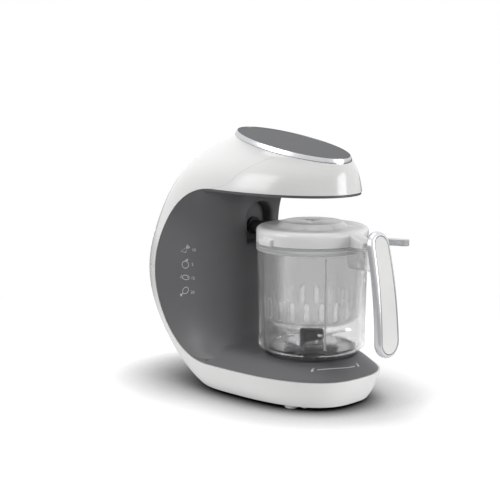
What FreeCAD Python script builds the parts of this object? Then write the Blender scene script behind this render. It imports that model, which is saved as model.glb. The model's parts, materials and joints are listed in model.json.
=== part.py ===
import FreeCAD, Part
import math
import os
import re
import Sketcher

os.makedirs("parts", exist_ok=True)
doc = FreeCAD.newDocument("BabyFoodMaker")
V = FreeCAD.Vector

# Driving dimensions in millimetres, degrees and plain counts.
# "Back" sizes run from the jug axis towards the rear, "front" sizes towards the handle.
SIZES = {
    # Side view of the white body
    "spine_center_back": 65,
    "spine_center_height": 126.5,
    "spine_radius": 137,
    "bay_center_back": 79,
    "bay_center_height": 120.8,
    "bay_radius": 89.5,
    "handle_reach": 101.2,
    # Plan outlines of the white body
    "foot_half_width": 61.2,
    "foot_front": 56.3,
    "rim_height": 30,
    "rim_half_width": 72,
    "rim_front": 67,
    "waist_height": 121,
    "waist_half_width": 67.7,
    "head_half_width": 63.5,
    "head_front": 50.2,
    "base_widest_back": 60,
    "base_front_power": 2.7,
    "base_rear_power": 2.7,
    "head_widest_back": 60,
    "head_front_power": 2.1,
    "head_rear_power": 2.6,
    "brow_widest_back": 43,
    "brow_swell": 3.2,
    "brow_forward": 1.2,
    "brow_front_power": 2.05,
    "brow_rear_power": 2.4,
    "nose_slope": 0.15,
    "loft_over": 2,
    "seam_foot_back": 82,
    "seam_top_along": -20,
    "shell_wall": 2.6,
    "housing_wall": 2.4,
    "rim_step": 0.6,
    "seam_gap": 0.3,
    "part_gap": 0.3,
    "push_fit": 0.02,
    "running_fit": 0.05,
    # Grip grooves across the back of the tank cowl
    "grip_first_height": 134,
    "grip_pitch": 7,
    "grip_height": 3,
    "grip_depth": 1.2,
    "grip_half_length": 50,
    "grip_count": 4,
    # Control panel
    "panel_tilt": 10.4,
    "panel_back": 27.1,
    "panel_height": 256.4,
    "panel_half_length": 68.5,
    "panel_half_width": 40,
    "panel_thickness": 2,
    "bezel_width": 2.2,
    "bezel_height": 4.5,
    "bezel_slope_width": 1.7,
    "bezel_slope_height": 3.6,
    "carrier_thickness": 2.4,
    "carrier_post_radius": 4,
    "carrier_post_side": 22,
    "carrier_post_spread": 26,
    "board_thickness": 1.6,
    "touch_board_margin": 16,
    "bezel_flange": 4,
    "panel_recess": 0.4,
    # Grey housing
    "column_nose_back": 70,
    "column_top_gap": 0.3,
    "column_flare": 24,
    "column_power": 2.5,
    "column_root": 12,
    "column_least": 6,
    "deck_skirt": 3,
    "underside_thickness": 2.3,
    "underside_inset": 0.8,
    "deck_height": 47.5,
    "deck_inset": 24,
    "niche_half_width": 17,
    "niche_bottom": 152,
    "niche_top": 193,
    "niche_depth": 14,
    "niche_round": 4,
    "recess_radius": 47,
    "recess_floor": 38,
    # Base plate, feet and screws
    "foot_height": 4,
    "foot_radius": 7,
    "foot_side": 44,
    "foot_forward": 14,
    "foot_rearward": 76,
    "plate_thickness": 2.4,
    "screw_side": 40,
    "screw_forward": 28,
    "screw_rearward": 50,
    "screw_radius": 1.5,
    "screw_length": 12,
    "screw_head_radius": 3.2,
    "screw_head_height": 2,
    "boss_radius": 4,
    "foot_round": 1,
    # Drive under the jug
    "shaft_radius": 4,
    "shaft_bottom": 9.5,
    "pulley_bottom": 13,
    "pulley_height": 10,
    "drive_pulley_radius": 30,
    "motor_pulley_radius": 10,
    "belt_thickness": 2,
    "belt_width": 8,
    "belt_gap": 0.15,
    "bush_wall": 2.5,
    "bush_height": 5,
    "carrier_wall": 3,
    "carrier_bottom": 26,
    "carrier_flange_radius": 24,
    "carrier_flange_height": 3,
    "carrier_stand": 2,
    "pulley_rim": 4,
    "pulley_web": 3,
    "pulley_hub": 5,
    "coupling_radius": 13,
    "coupling_height": 8.5,
    "coupling_floor": 3.5,
    "dog_radius": 9,
    "dog_height": 5,
    # Motor and chassis
    "motor_back": 98,
    "motor_bottom": 46,
    "motor_height": 54,
    "motor_radius": 24,
    "motor_wall": 2.5,
    "motor_end_wall": 3,
    "magnet_thickness": 5,
    "rotor_gap": 0.8,
    "rotor_height": 36,
    "fan_height": 5,
    "fan_radius": 21,
    "fan_blade_count": 8,
    "fan_disc": 1.2,
    "vane_root": 2,
    "vane_tip_gap": 1,
    "vane_width": 1,
    "chassis_thickness": 3,
    "chassis_half_width": 32,
    "chassis_half_depth": 14,
    "chassis_post_radius": 4,
    "chassis_post_side": 26,
    "chassis_post_spread": 8,
    "shelf_height": 122,
    "shelf_rear": 150,
    # Water and steam
    "boiler_back": 114,
    "boiler_radius": 26,
    "boiler_stand": 6,
    "boiler_height": 24,
    "boiler_wall": 2.5,
    "boiler_lid_height": 5,
    "heater_radius": 18,
    "heater_tube_radius": 2.6,
    "thermostat_radius": 7,
    "thermostat_height": 6,
    "hose_radius": 3.5,
    "hose_bore": 2,
    "nozzle_height": 167,
    "nozzle_radius": 6,
    "nozzle_bore": 2.5,
    "nozzle_gap": 1.5,
    "nozzle_tail": 2,
    "nozzle_seal_wall": 3,
    "steam_bend": 6,
    "hose_seat": 1,
    "pump_radius": 9,
    "pump_length": 36,
    "pump_height": 80,
    "pump_front_back": 112.5,
    "socket_side": 40,
    "socket_height": 131,
    "socket_radius": 7.5,
    "socket_length": 12,
    "socket_floor": 2,
    "spigot_radius": 4.5,
    "spigot_length": 9,
    "spigot_clearance": 0.5,
    "oring_radius": 0.9,
    "tank_front_back": 152,
    "tank_half_width": 48,
    "tank_bottom": 123,
    "tank_top": 200,
    "tank_wall": 2,
    "tank_cap_radius": 9,
    "tank_cap_height": 6,
    "tank_cap_edge": 1,
    "tank_cap_back": 162,
    # Electrics
    "power_board_length": 36,
    "power_board_back": 94,
    "power_board_height": 58,
    "power_board_bottom": 52,
    "transformer_depth": 10,
    "transformer_length": 16,
    "transformer_height": 18,
    "transformer_rise": 4,
    "relay_depth": 8,
    "relay_length": 12,
    "relay_height": 16,
    "relay_rise": 34,
    "capacitor_radius": 4,
    "capacitor_length": 12,
    "capacitor_rise": 30,
    "capacitor_back": 8,
    "parts_back": 16,
    "switch_width": 12,
    "switch_depth": 7,
    "switch_height": 9,
    "gland_radius": 6,
    "gland_flange_radius": 8.5,
    "gland_height": 24,
    "gland_proud": 4,
    "gland_flange": 2,
    # Jug
    "jug_radius": 55,
    "jug_foot_radius": 53.5,
    "jug_bottom": 53,
    "jug_floor_thickness": 4,
    "jug_wall": 2.4,
    "jug_foot_round": 2,
    "jug_top": 160,
    "rim_band_height": 8,
    "rim_band_radius": 56,
    "collar_radius": 44.5,
    "collar_bottom": 41,
    "collar_wall": 5,
    "ring_bottom_gap": 0.4,
    "lug_width": 14,
    "lug_height": 5,
    "lug_count": 4,
    "lug_root": 1,
    "bracket_half_width": 11,
    "bracket_round": 8,
    "bracket_bottom": 138,
    # Handle
    "handle_bottom": 57,
    "handle_length": 120.5,
    "handle_half_width": 15.5,
    "handle_top_half_width": 13.5,
    "handle_thickness": 8.5,
    "handle_lean": 0.5,
    "handle_bow": 500,
    "handle_round": 3,
    "insert_margin": 3.4,
    "insert_depth": 2,
    "insert_gap": 0.1,
    "handle_screw_radius": 2,
    # Blades
    "blade_shaft_radius": 3,
    "seal_radius": 8,
    "hub_radius": 12,
    "hub_bottom": 60,
    "hub_height": 11,
    "blade_thickness": 1.2,
    "blade_reach": 40,
    "blade_width": 13,
    "blade_pitch": 14,
    "blade_root_inset": 4,
    "blade_lower_angle": 20,
    "blade_upper_angle": 110,
    "blade_curve": 0.6,
    "hub_round": 3,
    # Steam basket
    "basket_radius": 50,
    "basket_foot_radius": 47,
    "basket_wall": 1.8,
    "basket_foot_round": 4,
    "basket_floor": 80,
    "basket_flange_radius": 53,
    "basket_flange_height": 1.6,
    "basket_slot_count": 20,
    "basket_slot_bottom": 86,
    "basket_slot_height": 19,
    "basket_slot_width": 5,
    "bar_height": 6,
    "bar_width": 9,
    "bar_reach": 99,
    "bar_angle": 23,
    "bar_root_inset": 5,
    "bar_notch_low": 2,
    # Lid
    "lid_radius": 56,
    "lid_skirt_height": 10,
    "lid_shoulder": 5,
    "lid_wall": 2.4,
    "lid_disc_radius": 31,
    "lid_disc_height": 4.5,
    "lid_edge": 1,
    "lid_disc_flare": 5,
    "lid_hole_radius": 2.2,
    "lid_plug_radius": 46,
    "lid_plug_height": 5,
    "gasket_height": 3,
    "gasket_depth": 2,
    "tab_length": 18,
    "tab_height": 6,
    "tab_depth": 4,
    "tab_turn": 10,
    "flap_half_width": 8,
    "flap_reach": 73.5,
    "flap_root_height": 12.5,
    "flap_tip_height": 5.5,
    "flap_round": 2.4,
}
sheet = doc.addObject("Spreadsheet::Sheet", "Sizes")
for row, (alias, number) in enumerate(SIZES.items(), start=1):
    sheet.set(f"A{row}", alias)
    sheet.set(f"B{row}", str(number))
    sheet.setAlias(f"B{row}", alias)
doc.recompute()

# Places worked out from the driving dimensions
JUG_Y = "((handle_reach - spine_center_back - spine_radius) / 2)"
MOTOR_Y = f"({JUG_Y} + motor_back)"
BAY_TOP = "(bay_center_height + bay_radius)"
PLATE_TOP = "(foot_height + plate_thickness)"
UNDERSIDE_BOTTOM = f"({BAY_TOP} - seam_gap - underside_thickness)"
MOTOR_TOP = "(motor_bottom + motor_height)"
BOILER_BOTTOM = "(shelf_height + boiler_stand)"
BOILER_TOP = f"({BOILER_BOTTOM} + boiler_height + boiler_lid_height)"
COUPLING_BOTTOM = "(recess_floor + carrier_stand + part_gap)"
COUPLING_TOP = f"({COUPLING_BOTTOM} + coupling_height)"
DOG_BOTTOM = f"({COUPLING_BOTTOM} + coupling_floor + part_gap)"
JUG_FLOOR = "(jug_bottom + jug_floor_thickness)"
BAND_BOTTOM = "(jug_top - rim_band_height)"
LID_BOTTOM = "(jug_top + part_gap)"
LID_SHOULDER_TOP = f"({LID_BOTTOM} + lid_skirt_height + lid_shoulder)"
LID_TOP = f"({LID_SHOULDER_TOP} + lid_disc_height)"

nodes = []


def bound(text):
    """Turn the sizes named in an expression into references to the sheet."""
    return re.sub(r"[A-Za-z_]\w*", lambda word: ("Sizes." if word[0] in SIZES else "") + word[0], str(text))


def number(text):
    """Give the present value of an expression, for shapes made by code."""
    return float(sheet.evalExpression(bound(text)))


def node(label, item):
    """Name a finished sub-part."""
    item.Label = label
    nodes.append(item)
    return item


def tie(item, **sizes):
    """Bind properties of an object to expressions of the sheet."""
    for name, text in sizes.items():
        item.setExpression(name.replace("__", "."), bound(text))


def place(item, x="0", y="0", z="0"):
    """Bind the position of an object to expressions of the sheet."""
    tie(item, Placement__Base__x=x, Placement__Base__y=y, Placement__Base__z=z)
    return item


def cylinder(name, radius, height, x="0", y="0", z="0", along="Z"):
    """A cylinder from its start point along +X, +Y or +Z."""
    item = doc.addObject("Part::Cylinder", name)
    tie(item, Radius=radius, Height=height)
    turns = {"X": FreeCAD.Rotation(V(0, 1, 0), 90), "Y": FreeCAD.Rotation(V(1, 0, 0), -90)}
    if along in turns:
        item.Placement = FreeCAD.Placement(V(), turns[along])
    return place(item, x, y, z)


def box(name, length, width, height, x, y, z):
    """A box from its lowest corner."""
    item = doc.addObject("Part::Box", name)
    tie(item, Length=length, Width=width, Height=height)
    return place(item, x, y, z)


def prism(name, sides, radius, height, x="0", y="0", z="0"):
    """A regular prism standing on its base."""
    item = doc.addObject("Part::Prism", name)
    item.Polygon = sides
    tie(item, Circumradius=radius, Height=height)
    return place(item, x, y, z)


def cut(name, base, *tools):
    """The base with every tool taken away."""
    tool = tools[0] if len(tools) == 1 else fuse(name + "_tools", *tools)
    item = doc.addObject("Part::Cut", name)
    item.Base = base
    item.Tool = tool
    return item


def fuse(name, *items):
    """All the items joined to one."""
    item = doc.addObject("Part::MultiFuse", name)
    item.Shapes = list(items)
    return item


def common(name, base, tool):
    """The space that two items share."""
    item = doc.addObject("Part::Common", name)
    item.Base = base
    item.Tool = tool
    return item


def group(name, *items):
    """Separate solids kept as one sub-part."""
    item = doc.addObject("Part::Compound", name)
    item.Links = list(items)
    return item


def made(name, shape):
    """A shape made by code."""
    item = doc.addObject("Part::Feature", name)
    item.Shape = shape
    return item


def turned(name, profile, x="0", y="0"):
    """A body turned about a vertical axis from (radius, height) corners."""
    body = doc.addObject("PartDesign::Body", name)
    sketch = body.newObject("Sketcher::SketchObject", name + "_profile")
    planes = {plane.Role: plane for plane in body.Origin.OriginFeatures}
    sketch.AttachmentSupport = (planes["XZ_Plane"], [""])
    sketch.MapMode = "FlatFace"
    corners = [V(number(radius), number(height), 0) for radius, height in profile]
    count = len(corners)
    for i in range(count):
        sketch.addGeometry(Part.LineSegment(corners[i], corners[(i + 1) % count]), False)
    for i in range(count):
        sketch.addConstraint(Sketcher.Constraint("Coincident", i, 2, (i + 1) % count, 1))
    for i, (radius, height) in enumerate(profile):
        if radius == "0":
            sketch.addConstraint(Sketcher.Constraint("PointOnObject", i, 1, -2))
        else:
            index = sketch.addConstraint(Sketcher.Constraint("DistanceX", -1, 1, i, 1, corners[i].x))
            sketch.setExpression(f"Constraints[{index}]", bound(radius))
        index = sketch.addConstraint(Sketcher.Constraint("DistanceY", -1, 1, i, 1, corners[i].y))
        sketch.setExpression(f"Constraints[{index}]", bound(height))
    revolution = body.newObject("PartDesign::Revolution", name + "_turn")
    revolution.Profile = sketch
    revolution.ReferenceAxis = (sketch, ["V_Axis"])
    revolution.Angle = 360
    return place(body, x, y)


def quarter(start, end, steps=4):
    """Corners along a quarter ellipse that leaves its start upright, for turning; without its start."""
    corners = []
    for step in range(1, steps + 1):
        angle = math.pi / 2 * step / steps
        inward, up = 1 - math.cos(angle), math.sin(angle)
        corners.append((f"({start[0]}) + {inward:.6f} * (({end[0]}) - ({start[0]}))",
                        f"({start[1]}) + {up:.6f} * (({end[1]}) - ({start[1]}))"))
    return corners


def ring(inner, outer, bottom, top):
    """Corners of a plain ring for turning."""
    return [(inner, bottom), (outer, bottom), (outer, top), (inner, top)]


# Plan outlines of the white body: each is a superellipse on a plane through
# its rear and front points, with its own widest place, width and squareness.
S = {alias: number(alias) for alias in SIZES}
jug_y = number(JUG_Y)
tilt = math.radians(S["panel_tilt"])


def spine_back(height):
    """How far behind the jug axis the outer spine stands at a height."""
    rise = height - S["spine_center_height"]
    return S["spine_center_back"] + math.sqrt(S["spine_radius"] ** 2 - rise ** 2)


def outline(rear, front, widest, half_width, front_power, rear_power, inset=0, start=0, count=24):
    """A closed smooth wire; rear and front are (back, height) points on the centre plane."""
    points = []
    span = rear[0] - front[0]
    for i in range(count):
        angle = 2 * math.pi * i / count + start
        along, across = math.cos(angle), math.sin(angle)
        power = rear_power if along > 0 else front_power
        reach = (abs(along) ** power + abs(across) ** power) ** (-1 / power)
        length = (rear[0] - widest if along > 0 else widest - front[0]) - inset
        back = widest + length * reach * along
        height = front[1] + (rear[1] - front[1]) * (back - front[0]) / span
        points.append(V((half_width - inset) * reach * across, jug_y + back, height))
    curve = Part.BSplineCurve()
    curve.interpolate(points, PeriodicFlag=True, Parameters=[i / count for i in range(count + 1)])
    return Part.Wire(curve.toShape())


bezel_reach = S["panel_half_length"] + S["bezel_width"]
bezel_half_width = S["panel_half_width"] + S["bezel_width"]
bezel_low = S["bezel_height"] + S["seam_gap"]


def panel_point(along, below):
    """The (back, height) point on the panel's centre line, along it and below its face."""
    back = S["panel_back"] + along * math.cos(tilt) - below * math.sin(tilt)
    return back, S["panel_height"] + along * math.sin(tilt) - below * math.cos(tilt)


# Rows above the rim: share of the way up the spine from waist to bay top, drop of the front end,
# widest place behind the jug axis, and the squareness in front and behind
FAN = [
    (-0.5, 130, 66, 2.7, 3.7),
    (0, 75, 72, 2.6, 4),
    (0.34, 40, 70, 2.4, 3.4),
    (0.67, 17, 66, 2.2, 2.9),
    (1, 0, S["head_widest_back"], S["head_front_power"], S["head_rear_power"]),
]


def base_outline(height, front, half_width, inset=0, start=0, rear=None):
    """A level outline of the base, as far back as the spine or as a given place."""
    rear_back = spine_back(height) if rear is None else rear
    return outline((rear_back, height), (-front, height), S["base_widest_back"], half_width,
                   S["base_front_power"], S["base_rear_power"], inset, start)


def envelope(inset, end=0):
    """The white body's solid, made smaller by an inset and longer at both open ends."""
    low, rim, waist = S["foot_height"], S["rim_height"], S["waist_height"]
    bay_top = S["bay_center_height"] + S["bay_radius"]
    spread = (S["rim_half_width"] - S["foot_half_width"]) / (rim - low)
    advance = (S["rim_front"] - S["foot_front"]) / (rim - low)
    foot_front = S["foot_front"] - end * advance
    foot_half_width = S["foot_half_width"] - end * spread
    wires = [base_outline(low - end, foot_front, foot_half_width, inset, math.pi)]
    wires.append(base_outline(rim, S["rim_front"], S["rim_half_width"], inset, math.pi))
    # Above the rim the outlines fan out round the bay: wide at the spine, close at the head's front
    for share, drop, widest, front_power, rear_power in FAN:
        height = waist + share * (bay_top - waist)
        half_width = S["waist_half_width"] + share * (S["head_half_width"] - S["waist_half_width"])
        rear = (spine_back(height), height)
        front = (-S["head_front"] - S["nose_slope"] * drop, bay_top - drop)
        wires.append(outline(rear, front, widest, half_width, front_power, rear_power, inset, math.pi))
    top_rear = panel_point(bezel_reach, bezel_low)
    top_front = panel_point(-bezel_reach, bezel_low)
    brow_height = (bay_top + top_rear[1]) / 2
    brow_rear = (spine_back(brow_height), brow_height)
    brow_front = ((top_front[0] - S["head_front"]) / 2 - S["brow_forward"], (bay_top + top_front[1]) / 2)
    brow_half_width = (S["head_half_width"] + bezel_half_width) / 2 + S["brow_swell"]
    wires.append(outline(brow_rear, brow_front, S["brow_widest_back"], brow_half_width, S["brow_front_power"],
                         S["brow_rear_power"], inset, math.pi))
    wires.append(outline(top_rear, top_front, S["panel_back"], bezel_half_width, 2, 2, inset, math.pi))
    wires[-1].translate(V(0, 0, end))
    return Part.makeLoft(wires, True, False)


body_outer = made("body_outer", envelope(0))
body_inner = made("body_inner", envelope(S["shell_wall"], S["loft_over"]))
body_groove = made("body_groove", envelope(S["grip_depth"], S["loft_over"]))
bay_length = "(4 * rim_half_width)"


def bay(name, inset):
    """The open bay between head and base, as a long block with a round back."""
    half = f"(bay_radius - {inset})"
    round_back = cylinder(name + "_round", half, bay_length, f"-{bay_length} / 2",
                          f"{JUG_Y} + bay_center_back", "bay_center_height", "X")
    straight = box(name + "_straight", bay_length, "bay_center_back + 2 * rim_front", f"2 * {half}",
                   f"-{bay_length} / 2", f"{JUG_Y} - 2 * rim_front", f"bay_center_height - {half}")
    return fuse(name, round_back, straight)


bay_cut = bay("bay_cut", "0")
bay_fit = bay("bay_fit", "seam_gap")


def half_space(name, bottom, top):
    """A block across the whole body between two heights."""
    return box(name, bay_length, "4 * spine_radius", f"({top}) - ({bottom})", f"-{bay_length} / 2",
               "-2 * spine_radius", bottom)


def seam_prism(name, shift, forward):
    """The space in front of or behind the curved seam on the head's flanks, moved back by a shift."""
    low = S["bay_center_height"] + S["bay_radius"]
    top_back, top = panel_point(S["seam_top_along"], bezel_low)
    rise = top - low
    run = S["seam_foot_back"] - top_back
    seam = [(1, -0.02), (0.9, 0.05), (0.69, 0.17), (0.55, 0.4), (0.43, 0.58), (0.27, 0.76), (0, 0.96)]
    points = [V(0, jug_y + top_back + run * along + shift, low + rise * up) for along, up in seam]
    curve = Part.BSplineCurve()
    curve.interpolate(points)
    far = -2 * S["rim_front"] if forward else 2 * S["spine_radius"]
    corners = [points[-1], V(0, points[-1].y, 2 * top), V(0, far, 2 * top), V(0, far, 0)]
    corners += [V(0, points[0].y, 0), points[0]]
    wire = Part.Wire([curve.toShape()] + Part.makePolygon(corners).Edges)
    solid = Part.Face(wire).extrude(V(4 * S["rim_half_width"], 0, 0))
    solid.translate(V(-2 * S["rim_half_width"], 0, 0))
    return made(name, solid)


panel_turn = FreeCAD.Placement(V(0, jug_y + S["panel_back"], S["panel_height"]),
                               FreeCAD.Rotation(V(1, 0, 0), S["panel_tilt"]))


def oval(name, margin, side_margin, top, bottom):
    """An oval block on the tilted panel plane; margins grow the panel, top and bottom lie below its face."""
    curve = Part.Ellipse(V(), S["panel_half_length"] + margin, S["panel_half_width"] + side_margin)
    solid = Part.Face(Part.Wire(curve.toShape())).extrude(V(0, 0, bottom - top))
    solid.rotate(V(), V(0, 0, 1), 90)
    solid.translate(V(0, 0, -bottom))
    item = made(name, solid)
    item.Placement = panel_turn.multiply(item.Placement)
    return item


# White body: a hollow skin, open to the bay and under the bezel, in three mouldings
bezel_room = oval("bezel_room", S["bezel_width"] + S["seam_gap"], S["bezel_width"] + S["seam_gap"],
                  -S["panel_height"] / 2, bezel_low)
low_space = half_space("low_space", "0", "waist_height - seam_gap / 2")
high_space = half_space("high_space", "waist_height + seam_gap / 2", "3 * waist_height")
gland_y = f"({JUG_Y} + spine_center_back + sqrt(spine_radius ^ 2 - (spine_center_height - gland_height) ^ 2))"
gland_hole = cylinder("gland_hole", "gland_radius + running_fit", "6 * shell_wall", "0",
                      f"{gland_y} - 4 * shell_wall", "gland_height", "Y")
skin = cut("skin", body_outer, body_inner)
low_region = cut("low_region", low_space, bay_cut, gland_hole)
lower_shell = node("lower_shell", common("lower_shell", skin, low_region))
head_block = common("head_block", high_space, seam_prism("head_space", 0, True))
node("head_shell", common("head_shell", skin, cut("head_region", head_block, bay_cut, bezel_room)))
cowl_block = common("cowl_block", high_space, seam_prism("cowl_space", S["seam_gap"], False))
cowl_skin = common("cowl_skin", skin, cut("cowl_region", cowl_block, bay_cut, bezel_room))
grip_bars = []
for step in range(int(S["grip_count"])):
    grip_bars.append(box(f"grip_bar_{step}", "2 * grip_half_length", "2 * spine_radius", "grip_height",
                         "-grip_half_length", JUG_Y + " + bay_center_back",
                         f"grip_first_height + {step} * grip_pitch"))
grip_tool = cut("grip_tool", group("grip_bars", *grip_bars), body_groove)
node("tank_cowl", cut("tank_cowl", cowl_skin, grip_tool))

# Water tank carried by the cowl: a fitted reservoir with a cap on top and a valve spigot in front
tank_inset = S["shell_wall"] + S["part_gap"]
tank_space = made("tank_space", envelope(tank_inset, S["loft_over"]))
tank_hollow = made("tank_hollow", envelope(tank_inset + S["tank_wall"], S["loft_over"]))


def tank_block(name, inset):
    """The block that bounds the reservoir, made smaller by an inset."""
    return box(name, f"2 * (tank_half_width - {inset})", "spine_radius",
               f"tank_top - tank_bottom - 2 * {inset}", f"-(tank_half_width - {inset})",
               f"{JUG_Y} + tank_front_back + {inset}", f"tank_bottom + {inset}")


tank_solid = common("tank_solid", tank_space, tank_block("tank_block", "0"))
tank_inside = common("tank_inside", tank_hollow, tank_block("tank_inner_block", "tank_wall"))
cap_y = f"({JUG_Y} + tank_cap_back)"
fill_hole = cylinder("fill_hole", "tank_cap_radius - tank_wall", "3 * tank_wall", "0", cap_y,
                     "tank_top - 2 * tank_wall")
outlet_hole = cylinder("outlet_hole", "spigot_radius + push_fit", "3 * tank_wall", "socket_side",
                       f"{JUG_Y} + tank_front_back - tank_wall", "socket_height", "Y")
node("tank_reservoir", cut("tank_reservoir", tank_solid, tank_inside, fill_hole, outlet_hole))
cap_top = "(tank_top + tank_cap_height)"
cap_stem = "(tank_cap_radius - tank_wall - running_fit)"
node("tank_cap", turned("tank_cap", [
    ("0", "tank_top - tank_wall"), (cap_stem, "tank_top - tank_wall"), (cap_stem, "tank_top"),
    ("tank_cap_radius", "tank_top"), ("tank_cap_radius", f"{cap_top} - tank_cap_edge"),
    ("tank_cap_radius - tank_cap_edge", cap_top), ("0", cap_top)], "0", cap_y))
spigot_y = f"({JUG_Y} + tank_front_back - spigot_length)"
spigot_tube = cylinder("spigot_tube", "spigot_radius", "spigot_length + tank_wall", "socket_side", spigot_y,
                       "socket_height", "Y")
spigot_bore = cylinder("spigot_bore", "hose_bore", "spigot_length + 2 * tank_wall", "socket_side", spigot_y,
                       "socket_height", "Y")
oring_y = f"({spigot_y} + spigot_length / 2)"
oring_groove = doc.addObject("Part::Torus", "oring_groove")
oring_groove.Placement = FreeCAD.Placement(V(), FreeCAD.Rotation(V(1, 0, 0), 90))
tie(oring_groove, Radius1="spigot_radius - oring_radius / 2", Radius2="oring_radius")
place(oring_groove, "socket_side", oring_y, "socket_height")
node("tank_valve", cut("tank_valve", spigot_tube, spigot_bore, oring_groove))
oring = doc.addObject("Part::Torus", "tank_oring")
oring.Placement = FreeCAD.Placement(V(), FreeCAD.Rotation(V(1, 0, 0), 90))
tie(oring, Radius1="spigot_radius - oring_radius / 2", Radius2="oring_radius - push_fit")
node("tank_oring", place(oring, "socket_side", oring_y, "socket_height"))

# Grey housing: the column wall, the steam niche and the domed deck with the jug recess in one moulding
def edge_half_width(height):
    """Half-width of the white body where the bay's edge meets it at a height."""
    start = V(0, jug_y + bay_back(height), height)
    across = Part.makeLine(start, start + V(2 * S["rim_half_width"], 0, 0))
    return across.common(body_outer.Shape).Length


def bay_back(height):
    """How far behind the jug axis the bay's round back stands at a height."""
    rise = height - S["bay_center_height"]
    return S["bay_center_back"] + math.sqrt(S["bay_radius"] ** 2 - rise ** 2)


column_top = number(UNDERSIDE_BOTTOM) - S["column_top_gap"]

# Sections of the column: height above the deck against its share of the flare, then shares of the way up
COLUMN_FOOT = [(-12, 1.3), (-4, 1), (0, 0.6), (6, 0.28), (14, 0.1), (28, 0)]
COLUMN_SHARES = (0.35, 0.5, 0.65, 0.8, 0.9, 0.96, 1)


def column(inset):
    """The column's solid: square-shouldered sections from the bay's back to the nose."""
    low = S["deck_height"]
    span = column_top - low
    levels = [(low + rise, S["column_flare"] * share) for rise, share in COLUMN_FOOT]
    levels += [(low + span * share, 0) for share in COLUMN_SHARES]
    wires = []
    for height, spread in levels:
        back = bay_back(height)
        nose = min(S["column_nose_back"] - spread + inset, back - S["column_least"])
        half_width = edge_half_width(height) - S["rim_step"] - inset
        rear = (back + S["column_root"] + 4 * inset, height)
        wires.append(outline(rear, (nose, height), back, half_width, S["column_power"], S["column_power"]))
    if inset:
        wires[0].translate(V(0, 0, -inset))
        wires[-1].translate(V(0, 0, -inset))
    return Part.makeLoft(wires, True, inset > 0)


# Rise from the rim to the deck's top against the way in from its edge
DECK_DOME = [(0.35, 0.25), (0.7, 0.54), (0.92, 0.8), (1, 1)]


def deck(inset):
    """The domed deck's solid over the base."""
    rim = S["rim_height"]
    steps = [(rim - S["deck_skirt"], S["rim_step"]), (rim, S["rim_step"])]
    for up, across in DECK_DOME:
        steps.append((rim + (S["deck_height"] - rim) * up, S["deck_inset"] * across))
    rear = spine_back(S["rim_height"])
    wires = []
    for height, shrink in steps:
        front = S["rim_front"] - shrink - inset
        half_width = S["rim_half_width"] - shrink - inset
        wires.append(base_outline(height - inset, front, half_width, rear=rear))
    return Part.makeLoft(wires, True, False)


column_outer = made("column_outer", column(0))
column_inner = made("column_inner", column(S["housing_wall"]))
deck_outer = made("deck_outer", deck(0))
deck_inner = made("deck_inner", deck(S["housing_wall"]))


def niche(name, grow):
    """The arched niche behind the lid, grown by a wall."""
    half = f"(niche_half_width + {grow})"
    front = f"({JUG_Y} + column_nose_back - niche_depth)"
    depth = f"(2 * niche_depth + {grow})"
    arch = cylinder(name + "_arch", half, depth, "0", front, "niche_top - niche_half_width", "Y")
    stem = box(name + "_stem", f"2 * {half}", depth, f"niche_top - niche_half_width - niche_bottom + {grow}",
               f"-{half}", front, f"niche_bottom - {grow}")
    return fuse(name, arch, stem)


def housing_piece(name, outer, *hollows):
    """A solid less its hollows, taken one after another."""
    piece = outer
    for step, hollow in enumerate(hollows):
        piece = cut(f"{name}_{step}", piece, hollow)
    return piece


niche_cut = niche("niche_cut", "0")
niche_grown = niche("niche_grown", "housing_wall")
recess = cylinder("recess", "recess_radius", "recess_floor", "0", JUG_Y, "recess_floor")
recess_grown = cylinder("recess_grown", "recess_radius + housing_wall", "recess_floor", "0", JUG_Y,
                        "recess_floor - housing_wall")
drive_hole = cylinder("drive_hole", "shaft_radius + bush_wall + carrier_wall + running_fit", "recess_floor",
                      "0", JUG_Y, "recess_floor / 2")
nozzle_hole = cylinder("nozzle_hole", "nozzle_radius + running_fit", "4 * niche_depth", "0",
                       f"{JUG_Y} + column_nose_back", "nozzle_height", "Y")
column_part = common("column_part", column_outer, bay_fit)
deck_part = common("deck_part", deck_outer, bay_fit)
column_wall = housing_piece("column_wall", column_part, column_inner, deck_inner, niche_cut)
deck_wall = housing_piece("deck_wall", deck_part, deck_inner, column_inner, recess)
niche_liner = common("niche_liner", cut("niche_wall", niche_grown, niche_cut, nozzle_hole), column_outer)
recess_cup = common("recess_cup", cut("recess_wall", recess_grown, recess, drive_hole), deck_outer)
screw_places = []
for side in ("-screw_side", "screw_side"):
    for along in ("-screw_forward", "screw_rearward"):
        screw_places.append((side, f"({JUG_Y} + {along})"))
bosses = []
for spot, (x, y) in enumerate(screw_places):
    pin = cylinder(f"boss_pin_{spot}", "boss_radius", f"deck_height - {PLATE_TOP}", x, y, PLATE_TOP)
    pilot = cylinder(f"boss_pilot_{spot}", "screw_radius + push_fit", "1.1 * screw_length", x, y, "foot_height")
    bosses.append(cut(f"boss_{spot}", pin, pilot))
boss_limit = fuse("boss_limit", deck_outer, half_space("boss_low", "0", "rim_height"))
boss_part = cut("boss_part", common("boss_bound", group("bosses", *bosses), boss_limit), recess)
housing_block = fuse("housing_block", column_wall, deck_wall, niche_liner, recess_cup, boss_part)
doc.recompute()
mouth_half = S["niche_half_width"] + S["part_gap"]
mouth_back = jug_y + S["column_nose_back"] + S["niche_depth"] / 2
mouth = []
for edge in housing_block.Shape.Edges:
    limits = edge.BoundBox
    upright = S["niche_bottom"] - S["part_gap"] < limits.ZMin and limits.ZMax < S["niche_top"] + S["part_gap"]
    if upright and -mouth_half < limits.XMin and limits.XMax < mouth_half and limits.YMax < mouth_back:
        mouth.append(edge)
node("inner_housing", made("inner_housing", housing_block.Shape.Solids[0].makeFillet(S["niche_round"], mouth)))

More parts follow.
